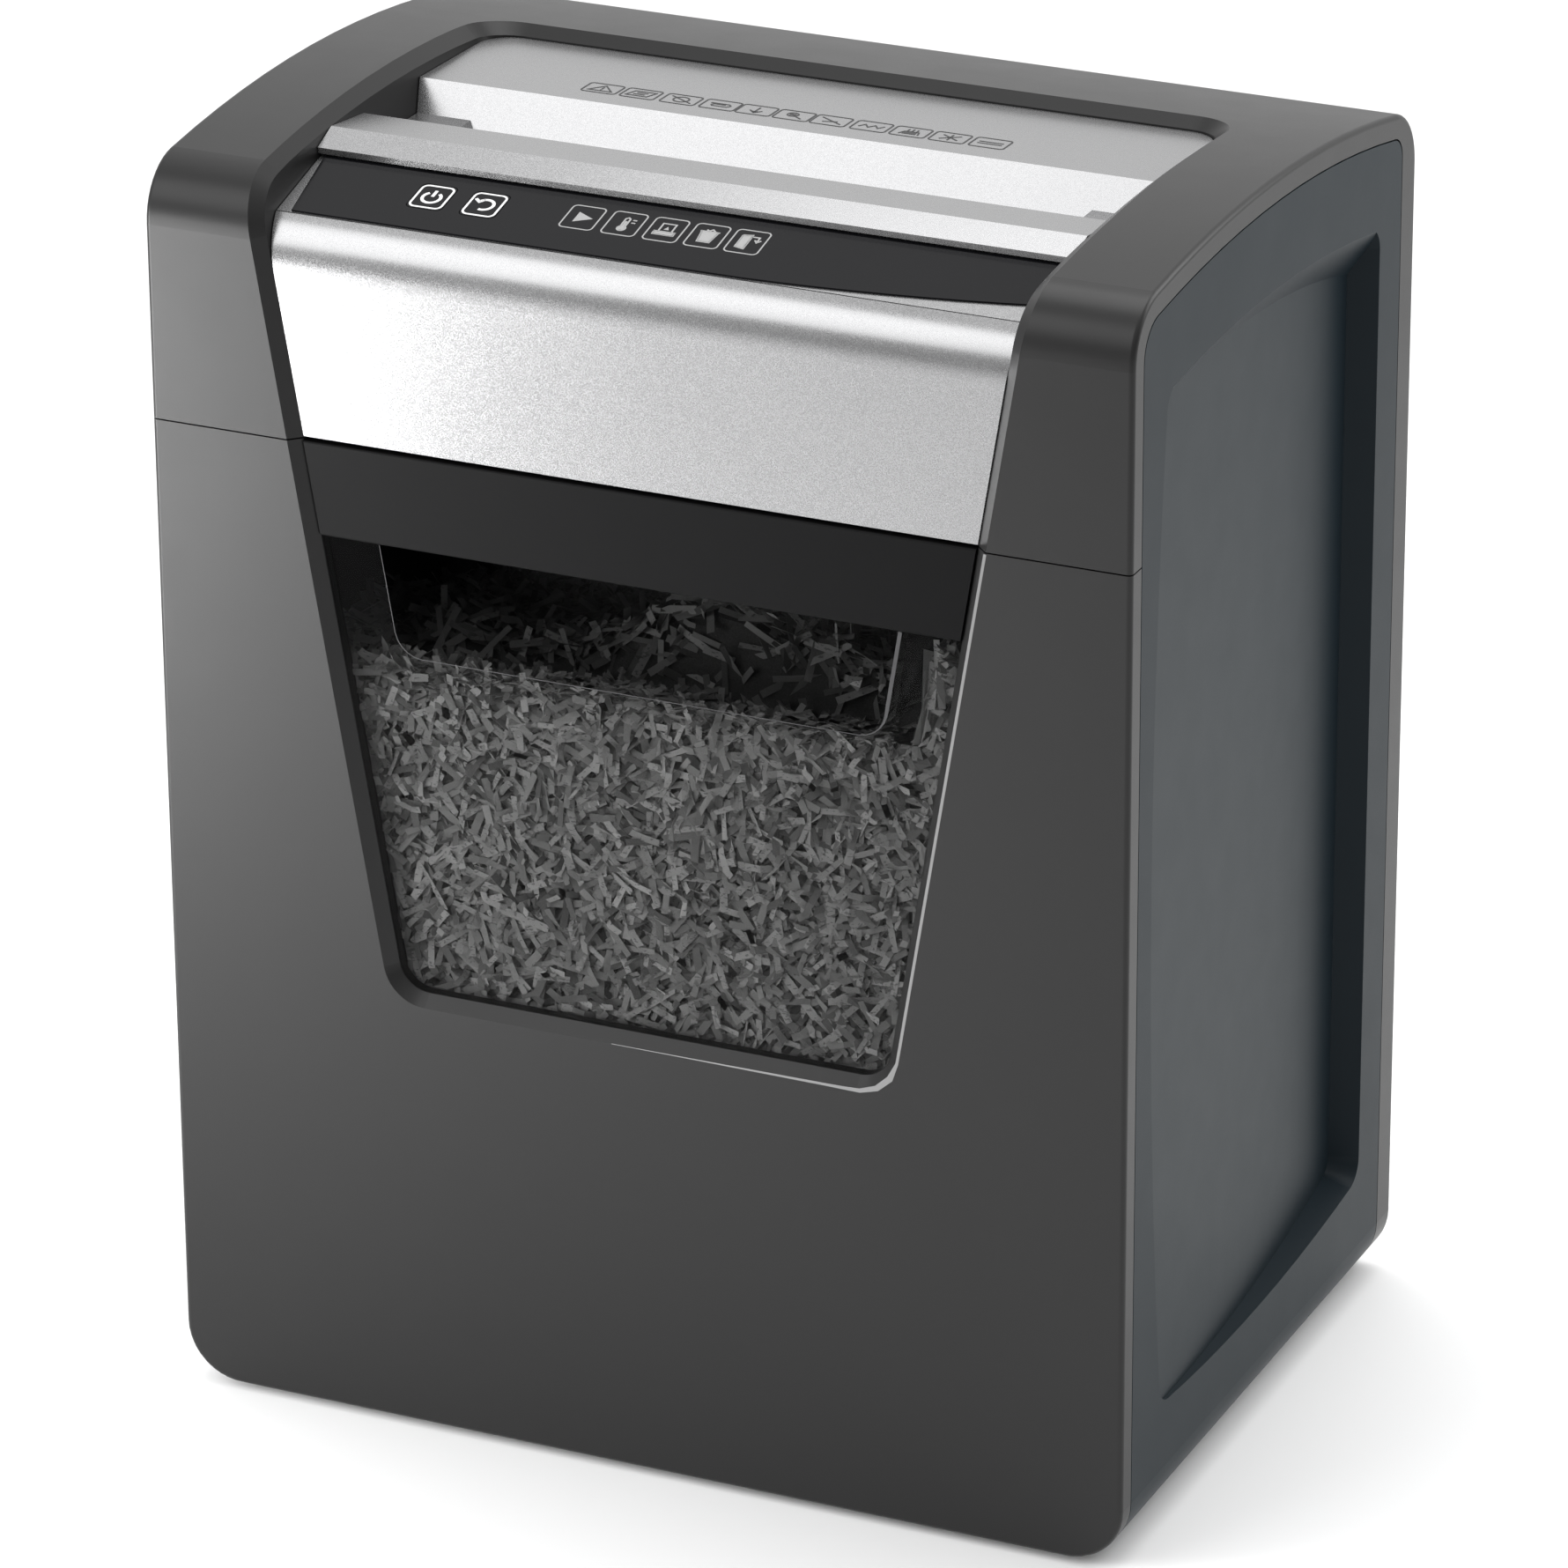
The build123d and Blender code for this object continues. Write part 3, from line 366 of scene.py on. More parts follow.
@dataclass(frozen=True)
class WorkedMetal(Finish):
    """Bare or plated metal with drawn or ground lines and stains."""

    roughness: float = 0.32
    lines: tuple[float, float, float] = (0.04, 1.0, 1.0)

    def values(self, g: MaterialGraph) -> Values:
        """The shader's inputs."""
        lines = g.noise(1400.0, 3.0, g.stretched(self.lines))
        stain = g.noise(45.0, 5.0)
        spangle = g.node("ShaderNodeTexVoronoi", {}, {"Vector": g.position(), "Scale": 160.0}, "Color")
        level = g.node("ShaderNodeSeparateColor", {}, {"Color": spangle}, "Green")
        base = g.blend(stain, brighter(self.colour, 0.78), brighter(self.colour, 1.10))
        base = g.blend(level * 0.18, base, brighter(self.colour, 1.25))
        base = g.blend(g.edge_wear_and_sheen() * 0.4, base, brighter(self.colour, 1.4))
        return {
            "Base Color": base,
            "Metallic": 1.0,
            "Roughness": lines * 0.16 + stain * 0.12 + (self.roughness - 0.14),
            "Normal": g.bump(lines, 0.12, 0.00008),
        }


class Rubber(Finish):
    """Matt rubber with bloom and a pebbled skin."""

    def values(self, g: MaterialGraph) -> Values:
        """The shader's inputs."""
        pebbles = g.cells(1500.0)
        bloom = g.noise(70.0, 5.0)
        return {
            "Base Color": g.blend(bloom * 0.5, self.colour, brighter(self.colour, 2.2)),
            "Roughness": bloom * 0.12 + 0.74,
            "Normal": g.bump(pebbles, 0.25, 0.0002),
        }


class CircuitBoard(Finish):
    """Solder mask over copper tracks, with tinned pads."""

    def values(self, g: MaterialGraph) -> Values:
        """The shader's inputs."""
        x = g.node("ShaderNodeSeparateXYZ", {}, {"Vector": g.position()}, "X")
        y = g.node("ShaderNodeSeparateXYZ", {}, {"Vector": g.position()}, "Y")
        wander = g.noise(60.0, 1.0) * 0.004
        track = ((x + wander) * 420.0).fraction() > 0.62
        cross = ((y + wander) * 300.0).fraction() > 0.86
        tracks = (track * (g.noise(90.0, 0.0) > 0.5) + cross * (g.noise(70.0, 0.0) > 0.56)).clamped()
        pads = 1.0 - (g.cells(260.0) > 0.16)
        base = g.blend(tracks, self.colour, brighter(self.colour, 1.9))
        base = g.blend(pads, base, (0.62, 0.62, 0.60))
        return {
            "Base Color": base,
            "Metallic": pads * 0.9,
            "Roughness": 0.34 - pads * 0.1,
            "Normal": g.bump(tracks, 0.3, 0.00005),
        }


class ShredPaper(Finish):
    """Office paper: each strip has its own lightness, darkened by painted shade where it lies deep, with
    faint fibres and grey print dashes.
    """

    def values(self, g: MaterialGraph) -> Values:
        """The shader's inputs."""
        tone_and_shade = g.node("ShaderNodeAttribute", {"attribute_name": "tone_and_shade"}, {}, "Fac")
        fibre = g.noise(1900.0, 3.0)
        dashes = g.noise(620.0, 1.0, g.stretched((1.0, 1.0, 2.2)))
        printed = (dashes > 0.63) * (tone_and_shade > 0.55)
        # Painted shade: the darker the attribute, the nearer this blend comes to black.
        base = g.blend(tone_and_shade, brighter(self.colour, 0.04), self.colour)
        base = g.blend(fibre * 0.25, base, brighter(self.colour, 0.7))
        base = g.blend(printed * 0.55, base, (0.10, 0.10, 0.11))
        return {
            "Base Color": base,
            "Roughness": fibre * 0.1 + 0.80,
            "Normal": g.bump(fibre, 0.2, 0.00008),
        }


class PrintInk(Finish):
    """Screen-printed ink, a little uneven and matt."""

    def values(self, g: MaterialGraph) -> Values:
        """The shader's inputs."""
        uneven = g.noise(1500.0, 3.0)
        return {
            "Base Color": g.blend(uneven, brighter(self.colour, 0.85), brighter(self.colour, 1.08)),
            "Roughness": uneven * 0.12 + 0.44,
        }


class Finishes:
    """Every finish of the shredder, by the record's material slot."""

    CASING = MouldedPlastic("casing satin", (0.009, 0.0089, 0.009), 0.35, shine=0.34)
    TABLE: dict[str, Finish] = {
        "casing_plastic": CASING,
        "side_plastic": MouldedPlastic("side panel matt", (0.010, 0.0160, 0.0205), 0.42, shine=0.12),
        "silver_plastic": SilverSatin("silver satin lacquer", (0.33, 0.33, 0.334)),
        "label_gloss": GlossPlastic("control label gloss", (0.005, 0.005, 0.006), 0.12, 0.10),
        "key_gloss": GlossPlastic("key cap gloss", (0.005, 0.005, 0.006), 0.14, 0.10),
        "grip_gloss": MouldedPlastic("handle band satin", (0.004, 0.004, 0.0042), 0.42, shine=0.07),
        "light_guide": GlossPlastic("light guide frosted", (0.30, 0.31, 0.32), 0.3),
        "circuit_board": CircuitBoard("solder mask", (0.015, 0.10, 0.035)),
        "switch_body": MouldedPlastic("switch body plastic", (0.03, 0.03, 0.033), 0.4),
        "capacitor_sleeve": GlossPlastic("capacitor sleeve", (0.03, 0.04, 0.12), 0.25),
        "frame_plastic": MouldedPlastic("frame plastic", (0.022, 0.022, 0.023), 0.55, 1500.0, 0.2, shine=0.3),
        "rail_plastic": MouldedPlastic("rail plastic", (0.42, 0.42, 0.40), 0.42),
        "tub_plastic": MouldedPlastic("tub plastic", (0.004, 0.004, 0.0042), 0.5, 1500.0, 0.18, shine=0.15),
        "window_smoked": SmokedWindow("smoked window", (0.004, 0.004, 0.004)),
        "shredded_paper": ShredPaper("shredded paper", (0.84, 0.84, 0.83)),
        "plate_steel": WorkedMetal("galvanised plate", (0.56, 0.57, 0.58), 0.38),
        "zinc_steel": WorkedMetal("zinc plating", (0.62, 0.62, 0.59), 0.3),
        "cutter_steel": WorkedMetal("cutter steel", (0.40, 0.40, 0.41), 0.28, (1.0, 0.08, 0.08)),
        "gear_steel": WorkedMetal("gear steel", (0.46, 0.46, 0.47), 0.3, (1.0, 0.08, 0.08)),
        "gear_nylon": MouldedPlastic("gear nylon", (0.74, 0.71, 0.62), 0.38),
        "bearing_bronze": WorkedMetal("sintered bronze", (0.55, 0.35, 0.16), 0.45, (1.0, 1.0, 1.0)),
        "motor_steel": WorkedMetal("motor can steel", (0.42, 0.43, 0.44), 0.34, (1.0, 0.06, 1.0)),
        "rotor_copper": WorkedMetal("rotor windings", (0.62, 0.30, 0.15), 0.3, (1.0, 0.1, 1.0)),
        "gland_rubber": Rubber("gland rubber", (0.022, 0.022, 0.022)),
        "foot_rubber": Rubber("foot rubber", (0.035, 0.035, 0.035)),
    }

    def __init__(self) -> None:
        """Build each material once."""
        self.made = {slot: finish.material() for slot, finish in self.TABLE.items()}
        self.icon_white = PrintInk("icon white ink", (0.80, 0.80, 0.80)).material()
        self.icon_grey = PrintInk("icon grey ink", (0.33, 0.33, 0.33)).material()
        self.mark_grey = PrintInk("mark dark grey ink", (0.018, 0.018, 0.019)).material()
        # Light gloss bands that paint edge highlights on the pocket's mouth and the window's bevel.
        self.mouth_highlight_finish = GlossPlastic("pocket mouth highlight paint", (0.055, 0.055, 0.057), 0.22, 0.3).material()
        self.bevel_highlight_finish = GlossPlastic("window bevel highlight paint", (0.22, 0.22, 0.22), 0.22, 0.4).material()

    def dress(self) -> None:
        """Give each CAD node the finish of its slot."""
        for part in frame["record"]["subparts"]:
            node = frame["nodes"][part["node"]]
            material = self.made[part["material_slot"]]
            for place in node.material_slots:
                place.material = material


# ---------------------------------------------------------------- mesh helpers
def build_piece(
    name: str, points: Array, faces: Array | list[list[int]], material: bpy.types.Material,
) -> bpy.types.Object:
    """Make a mesh object at the origin.

    Args:
        name: The piece's name.
        points: Corner positions in metres, one row each.
        faces: Corner numbers of each face, counter-clockwise from outside.
        material: Its material.

    Returns:
        The linked object.
    """
    mesh = bpy.data.meshes.new(name)
    mesh.from_pydata(points.tolist(), [], faces.tolist() if isinstance(faces, np.ndarray) else faces)
    mesh.materials.append(material)
    mesh.validate()
    piece = bpy.data.objects.new(name, mesh)
    bpy.context.scene.collection.objects.link(piece)
    return piece


def smooth_step(low: float, high: float, value: Array) -> Array:
    """0 below low, 1 above high, and 3t^2 - 2t^3 of the share t between them."""
    share = np.clip((value - low) / (high - low), 0.0, 1.0)
    return share * share * (3.0 - 2.0 * share)


def bar_faces(stations: int) -> Array:
    """Faces of a closed four-sided bar.

    Args:
        stations: How many rings of four corners the bar has.

    Returns:
        Corner numbers, one face a row.
    """
    faces = []
    for station in range(stations - 1):
        low, high = 4 * station, 4 * station + 4
        for corner in range(4):
            following = (corner + 1) % 4
            faces.append([low + corner, low + following, high + following, high + corner])
    last = 4 * (stations - 1)
    faces += [[3, 2, 1, 0], [last, last + 1, last + 2, last + 3]]
    return np.array(faces)


# ---------------------------------------------------------------- printed marks
class Stroke:
    """A line of a pictogram: a flat band of even width along a path."""

    def __init__(self, path: Array, closed: bool = False) -> None:
        """Keep the path, one row of two numbers in mm per point."""
        self.path = np.asarray(path, float)
        self.closed = closed

    @staticmethod
    def arc(x: float, y: float, radius: float, start: float, stop: float, count: int = 18) -> "Stroke":
        """Part of a circle.

        Args:
            x: Its centre, across.
            y: Its centre, up.
            radius: Its radius.
            start: First angle in degrees.
            stop: Last angle in degrees.
            count: How many points it has.

        Returns:
            The stroke, closed if the circle is whole.
        """
        turn = np.radians(np.linspace(start, stop, count))
        path = np.column_stack((x + radius * np.cos(turn), y + radius * np.sin(turn)))
        whole = abs(abs(stop - start) - 360.0) < 1e-6
        return Stroke(path[:-1] if whole else path, whole)

    @staticmethod
    def frame(width: float, height: float, radius: float) -> "Stroke":
        """A rectangle round the origin with rounded corners."""
        turn = np.radians(np.linspace(0.0, 90.0, 6))
        corners = []
        for quarter, (sx, sy) in enumerate(((1, 1), (-1, 1), (-1, -1), (1, -1))):
            angle = turn + quarter * math.pi / 2.0
            corners.append(np.column_stack((
                sx * (width / 2 - radius) + radius * np.cos(angle),
                sy * (height / 2 - radius) + radius * np.sin(angle),
            )))
        return Stroke(np.vstack(corners), True)

    def band(self, width: float) -> tuple[Array, Array]:
        """Edges of the band.

        At each point the sideways direction is the mean of the two runs' normals,
        lengthened by one over its dot product with a run's normal, so that the
        width stays even round a corner.

        Args:
            width: Width of the line in mm.

        Returns:
            The left and the right edge, one row per point.
        """
        path = self.path
        runs = (np.roll(path, -1, 0) - path) if self.closed else np.diff(path, axis=0)
        runs = runs / np.linalg.norm(runs, axis=1, keepdims=True)
        normals = np.column_stack((-runs[:, 1], runs[:, 0]))
        if self.closed:
            before, after = np.roll(normals, 1, 0), normals
        else:
            before, after = np.vstack((normals[:1], normals)), np.vstack((normals, normals[-1:]))
        mean = before + after
        mean = mean / np.maximum(np.linalg.norm(mean, axis=1, keepdims=True), 1e-6)
        reach = np.clip(np.sum(mean * after, axis=1, keepdims=True), 0.4, 1.0)
        offset = mean / reach * width / 2.0
        return path + offset, path - offset


@dataclass(frozen=True)
class Drawing:
    """What a pictogram is drawn from, in mm, in a square of about 8 mm round the origin.

    An arc is x, y, radius and two angles in degrees. A loop is a closed path, a line
    an open one, and a plate is a filled convex shape, counter-clockwise.
    """

    arcs: Sequence[tuple[float, ...]] = ()
    loops: Sequence[Sequence[Point]] = ()
    lines: Sequence[Sequence[Point]] = ()
    plates: Sequence[Sequence[Point]] = ()

    def strokes(self) -> list[Stroke]:
        """Its arcs, loops and lines, in that order."""
        arcs = [Stroke.arc(*arc) for arc in self.arcs]
        return arcs + [Stroke(loop, True) for loop in self.loops] + [Stroke(line) for line in self.lines]


@dataclass
class Sheet:
    """A flat place on the shredder where marks are printed."""

    origin: Vector
    right: Vector
    up: Vector
    lift: float = 0.00003
    thickness: float = 0.00005

    def place(self, flat: Array, height: float) -> Array:
        """Points of the sheet.

        Args:
            flat: Rows of mm across and mm up.
            height: Height above the sheet in metres.

        Returns:
            Their positions in the row frame.
        """
        right, up = np.array(self.right), np.array(self.up)
        out = np.cross(right, up)
        base = np.array(self.origin) + out * height
        return base + np.outer(flat[:, 0] * MM, right) + np.outer(flat[:, 1] * MM, up)


class InkLayer:
    """Gathers bands and plates into one printed piece."""

    def __init__(self, sheet: Sheet) -> None:
        """Start an empty layer on a sheet."""
        self.sheet = sheet
        self.points: list[Array] = []
        self.faces: list[list[int]] = []
        self.count = 0

    def _add_rings(self, ring: Array, top_faces: list[list[int]]) -> None:
        """Add a closed plate: a top, the same top seen from below, and its rim.

        Args:
            ring: The outline in order, counter-clockwise.
            top_faces: The top's faces as places in the ring.
        """
        size = len(ring)
        low = self.sheet.place(ring, self.sheet.lift)
        high = self.sheet.place(ring, self.sheet.lift + self.sheet.thickness)
        start = self.count
        self.points += [high, low]
        for face in top_faces:
            self.faces.append([start + i for i in face])
            self.faces.append([start + size + i for i in reversed(face)])
        for i in range(size):
            j = (i + 1) % size
            self.faces.append([start + j, start + i, start + size + i, start + size + j])
        self.count += 2 * size

    def line(self, stroke: Stroke, width: float, x: float, y: float) -> None:
        """Print a stroke.

        Args:
            stroke: The line, round its own origin.
            width: Its width in mm.
            x: Where its origin goes, across the sheet.
            y: Where its origin goes, up the sheet.
        """
        left, right = stroke.band(width)
        shift = np.array([x, y])
        steps = len(stroke.path) if stroke.closed else len(stroke.path) - 1
        for i in range(steps):
            j = (i + 1) % len(stroke.path)
            quad = np.vstack((right[i], right[j], left[j], left[i])) + shift
            self._add_rings(quad, [[0, 1, 2, 3]])

    def plate(self, outline: Sequence[Point], x: float, y: float) -> None:
        """Print a filled convex shape.

        Args:
            outline: Its corners, counter-clockwise, round its own origin.
            x: Where its origin goes, across the sheet.
            y: Where its origin goes, up the sheet.
        """
        ring = np.array(outline, float) + np.array([x, y])
        self._add_rings(ring, [list(range(len(outline)))])

    def draw(self, drawing: Drawing, width: float, x: float, y: float) -> None:
        """Print a pictogram.

        Args:
            drawing: The pictogram.
            width: Width of its lines in mm.
            x: Where its origin goes, across the sheet.
            y: Where its origin goes, up the sheet.
        """
        for stroke in drawing.strokes():
            self.line(stroke, width, x, y)
        for outline in drawing.plates:
            self.plate(outline, x, y)

    def finish(self, name: str, material: bpy.types.Material, body: str, slot: str) -> bpy.types.Object:
        """Turn the layer into a piece that rides on a body.

        Args:
            name: The piece's name.
            material: The ink.
            body: The CAD body that it rides on.
            slot: Not used.

        Returns:
            The piece.
        """
        piece = build_piece(name, np.vstack(self.points), self.faces, material)
        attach(piece, body)
        return piece


class Pictogram(Enum):
    """The generic pictograms of the control strip and the rear plate."""

    POWER = Drawing(arcs=[(0, -0.4, 3.1, 125, 415)], lines=[[(0, 0.2), (0, 3.9)]])
    REVERSE = Drawing(arcs=[(0, 0, 3.0, 150, -110)], lines=[[(-4.4, 2.9), (-2.5, 1.3), (-0.9, 3.1)]])
    RUN = Drawing(plates=[[(-2.4, -3.0), (3.6, 0.0), (-2.4, 3.0)]])
    HEAT = Drawing(
        arcs=[(0, -2.7, 1.4, 120, 420)],
        lines=[
            [(-0.8, -1.5), (-0.8, 3.0), (0.0, 3.7), (0.8, 3.0), (0.8, -1.5)],
            [(1.9, 2.6), (3.3, 2.6)], [(1.9, 1.0), (3.3, 1.0)],
        ],
        plates=[[
            (-0.9, -3.6), (0.9, -3.6), (1.2, -2.4), (0.4, -1.4),
            (0.4, 1.6), (-0.4, 1.6), (-0.4, -1.4), (-1.2, -2.4),
        ]],
    )
    TRAY = Drawing(
        lines=[
            [(-3.6, -1.2), (-3.6, -3.0), (3.6, -3.0), (3.6, -1.2)],
            [(-2.3, -1.2), (-2.3, 3.5), (2.3, 3.5), (2.3, -1.2)], [(-3.9, -1.2), (3.9, -1.2)],
        ],
        plates=[
            [(-3.6, -3.4), (3.6, -3.4), (3.6, -1.4), (-3.6, -1.4)], [(-0.9, 0.0), (0.9, 0.0), (0.0, 1.9)],
        ],
    )
    BIN = Drawing(
        lines=[
            [(-2.9, 2.6), (-2.1, -3.6), (2.1, -3.6), (2.9, 2.6)], [(-3.4, 2.6), (3.4, 2.6)],
            [(-1.5, 3.6), (-0.5, 2.9), (0.5, 3.9), (1.6, 2.9)],
        ],
        plates=[[(-2.1, -3.6), (2.1, -3.6), (2.9, 2.4), (-2.9, 2.4)]],
    )
    DOOR = Drawing(
        lines=[
            [(-3.0, 3.6), (-3.0, -3.4), (0.2, -4.1), (0.2, 4.1), (-3.0, 3.6)],
            [(0.2, 3.2), (3.0, 3.2), (3.0, 0.4)], [(1.9, 1.6), (3.0, 0.2), (4.1, 1.6)],
        ],
        plates=[[(-3.0, -3.4), (0.2, -4.1), (0.2, 4.1), (-3.0, 3.6)]],
    )
    TRIANGLE = Drawing(
        loops=[[(-4.2, -2.6), (4.2, -2.6), (0, 2.9)]], lines=[[(0, 1.2), (0, -0.9)]],
        plates=[[(-0.3, -2.0), (0.3, -2.0), (0.3, -1.5), (-0.3, -1.5)]],
    )
    PAGE = Drawing(
        loops=[[(-4.6, -2.4), (-3.0, 2.4), (4.6, 2.4), (3.0, -2.4)]],
        lines=[[(-1.8, 0.8), (2.2, 0.8)], [(-2.6, -0.8), (1.6, -0.8)]],
    )
    RING = Drawing(arcs=[(0, 0, 2.7, 0, 360)], lines=[[(-4.4, 2.8), (4.4, -2.8)]])
    CLIP = Drawing(lines=[[
        (-4.0, 1.4), (2.6, 1.4), (3.6, 0.0), (2.6, -1.4), (-2.6, -1.4), (-3.2, -0.4), (-2.6, 0.5), (1.6, 0.5),
    ]])
    ARROW = Drawing(
        lines=[[(0, 2.9), (0, -2.6)], [(-2.2, -0.5), (0, -2.8), (2.2, -0.5)]],
        plates=[[(-1.5, -1.2), (0.0, -2.9), (1.5, -1.2)]],
    )
    LOOP = Drawing(
        arcs=[(-0.8, 0.8, 1.9, 0, 360)], lines=[[(0.4, -0.6), (3.4, -2.8)]],
        plates=[[(-1.9, 0.0), (0.3, 0.0), (0.3, 1.6), (-1.9, 1.6)]],
    )
    SLASH = Drawing(lines=[[(-4.2, 2.7), (4.2, -2.7)], [(-2.6, -1.7), (2.4, -0.3)]])
    WAVE = Drawing(lines=[[(-4.2, -1.2), (-2.6, 1.3), (-0.9, -1.2), (0.9, 1.3), (2.6, -1.2), (4.2, 1.3)]])
    HAND = Drawing(
        lines=[
            [(-3.4, -2.6), (-2.2, 0.2), (2.8, 0.2), (3.4, -2.6)], [(-1.4, 0.2), (-1.4, 2.6)],
            [(0.2, 0.2), (0.2, 2.9)], [(1.8, 0.2), (1.8, 2.5)],
        ],
        plates=[[(-2.4, -2.4), (2.4, -2.4), (2.2, 0.2), (-1.8, 0.2)]],
    )
    STAR = Drawing(lines=[[(-3.2, -2.2), (3.2, 2.2)], [(-3.2, 2.2), (3.2, -2.2)], [(0, -2.9), (0, 2.9)]])
    DOTS = Drawing(lines=[[(-4.3, 0.9), (4.3, 0.9)], [(-4.3, -0.9), (4.3, -0.9)]])


@dataclass
class ControlMarks:
    """Pictograms printed on the keys and the gloss label."""

    slope_deg: float = 12.7
    foot: tuple[float, float] = (-0.1111, 0.4254)
    label_height: float = 0.0006
    key_x: dict[str, float] = field(default_factory=lambda: {"power": -84.3, "reverse": -65.4})
    key_up: float = 19.8
    light_x: tuple[float, ...] = (-31.0, -16.2, -1.6, 12.8, 26.9)
    light_up: float = 20.8
    key_frame: tuple[float, float, float] = (11.2, 12.8, 2.0)
    light_frame: tuple[float, float, float] = (11.6, 13.4, 1.6)
    line: float = 0.62
    light_order: tuple[Pictogram, ...] = (
        Pictogram.RUN, Pictogram.HEAT, Pictogram.TRAY, Pictogram.BIN, Pictogram.DOOR,
    )

    def sheet(self) -> Sheet:
        """The face of the sloping label."""
        slope = math.radians(self.slope_deg)
        up = Vector((0.0, math.cos(slope), math.sin(slope)))
        out = Vector((0.0, -math.sin(slope), math.cos(slope)))
        origin = Vector((0.0, *self.foot)) + out * self.label_height
        return Sheet(origin, Vector((1.0, 0.0, 0.0)), up)

    def build(self, finishes: Finishes) -> list[bpy.types.Object]:
        """Print the keys and the status pictograms."""
        pieces = []
        for key, x in self.key_x.items():
            ink = InkLayer(self.sheet())
            ink.line(Stroke.frame(*self.key_frame), self.line + 0.15, x, self.key_up)
            ink.draw(Pictogram[key.upper()].value, self.line + 0.5, x, self.key_up)
            pieces.append(ink.finish(f"{key}_key_mark", finishes.icon_white, f"{key}_key", "key_gloss"))
        ink = InkLayer(self.sheet())
        for x, mark in zip(self.light_x, self.light_order):
            ink.line(Stroke.frame(*self.light_frame), self.line - 0.1, x, self.light_up)
            ink.draw(mark.value, self.line, x, self.light_up)
        pieces.append(ink.finish("status_marks", finishes.icon_grey, "cabinet", "label_gloss"))
        return pieces


@dataclass
class RearPlateMarks:
    """A row of small outlined pictograms printed on the plate behind the throat."""

    x: tuple[float, ...] = (-72.4, -58.4, -43.8, -29.5, -16.4, -2.9, 10.4, 24.8, 38.8, 52.8, 67.0)
    plate_start: tuple[float, float] = (-4.0, 437.4)
    plate_end: tuple[float, float] = (53.0, 435.8)
    up: float = 14.6
    frame: tuple[float, float, float] = (12.4, 9.4, 1.3)
    line: float = 0.6
    order: tuple[Pictogram, ...] = (
        Pictogram.TRIANGLE, Pictogram.PAGE, Pictogram.RING, Pictogram.CLIP, Pictogram.ARROW, Pictogram.LOOP,
        Pictogram.SLASH, Pictogram.WAVE, Pictogram.HAND, Pictogram.STAR, Pictogram.DOTS,
    )

    def build(self, finishes: Finishes) -> list[bpy.types.Object]:
        """Print the row."""
        start, end = np.array(self.plate_start) * MM, np.array(self.plate_end) * MM
        run = (end - start) / np.linalg.norm(end - start)
        sheet = Sheet(Vector((0.0, *start)), Vector((1.0, 0.0, 0.0)), Vector((0.0, *run)))
        ink = InkLayer(sheet)
        for x, mark in zip(self.x, self.order):
            ink.line(Stroke.frame(*self.frame), self.line, x, self.up)
            ink.draw(mark.value, self.line, x, self.up)
        return [ink.finish("plate_marks", finishes.mark_grey, "cabinet", "silver_plastic")]


# ---------------------------------------------------------------- painted edge highlights
@dataclass(frozen=True)
class Cup:
    """Outline of an opening: a flat bottom, rounded corners and sides that lean outwards.

    Its half width is the bottom's, before the corners are rounded.
    """

    half: float
    low: float
    top: float
    radius: float
    slope: float = 0.166
    stations: int = 90

    def path(self) -> Array:
        """Rows of x and z, evenly spaced from the left side's top to the right side's top."""
        lean = math.atan(self.slope)
        reach = self.radius * math.tan((math.pi / 2 - lean) / 2)
        turn = np.linspace(-math.pi / 2, -lean, 14)
        across = self.half - reach + self.radius * np.cos(turn)
        arc = np.column_stack((across, self.low + self.radius + self.radius * np.sin(turn)))
        right = np.vstack((arc, [[self.half + self.slope * (self.top - self.low), self.top]]))
        path = np.vstack((right[::-1] * (-1.0, 1.0), right))
        run = np.concatenate(([0.0], np.cumsum(np.linalg.norm(np.diff(path, axis=0), axis=1))))
        even = np.linspace(0.0, run[-1], self.stations)
        return np.column_stack([np.interp(even, run, path[:, i]) for i in range(2)])


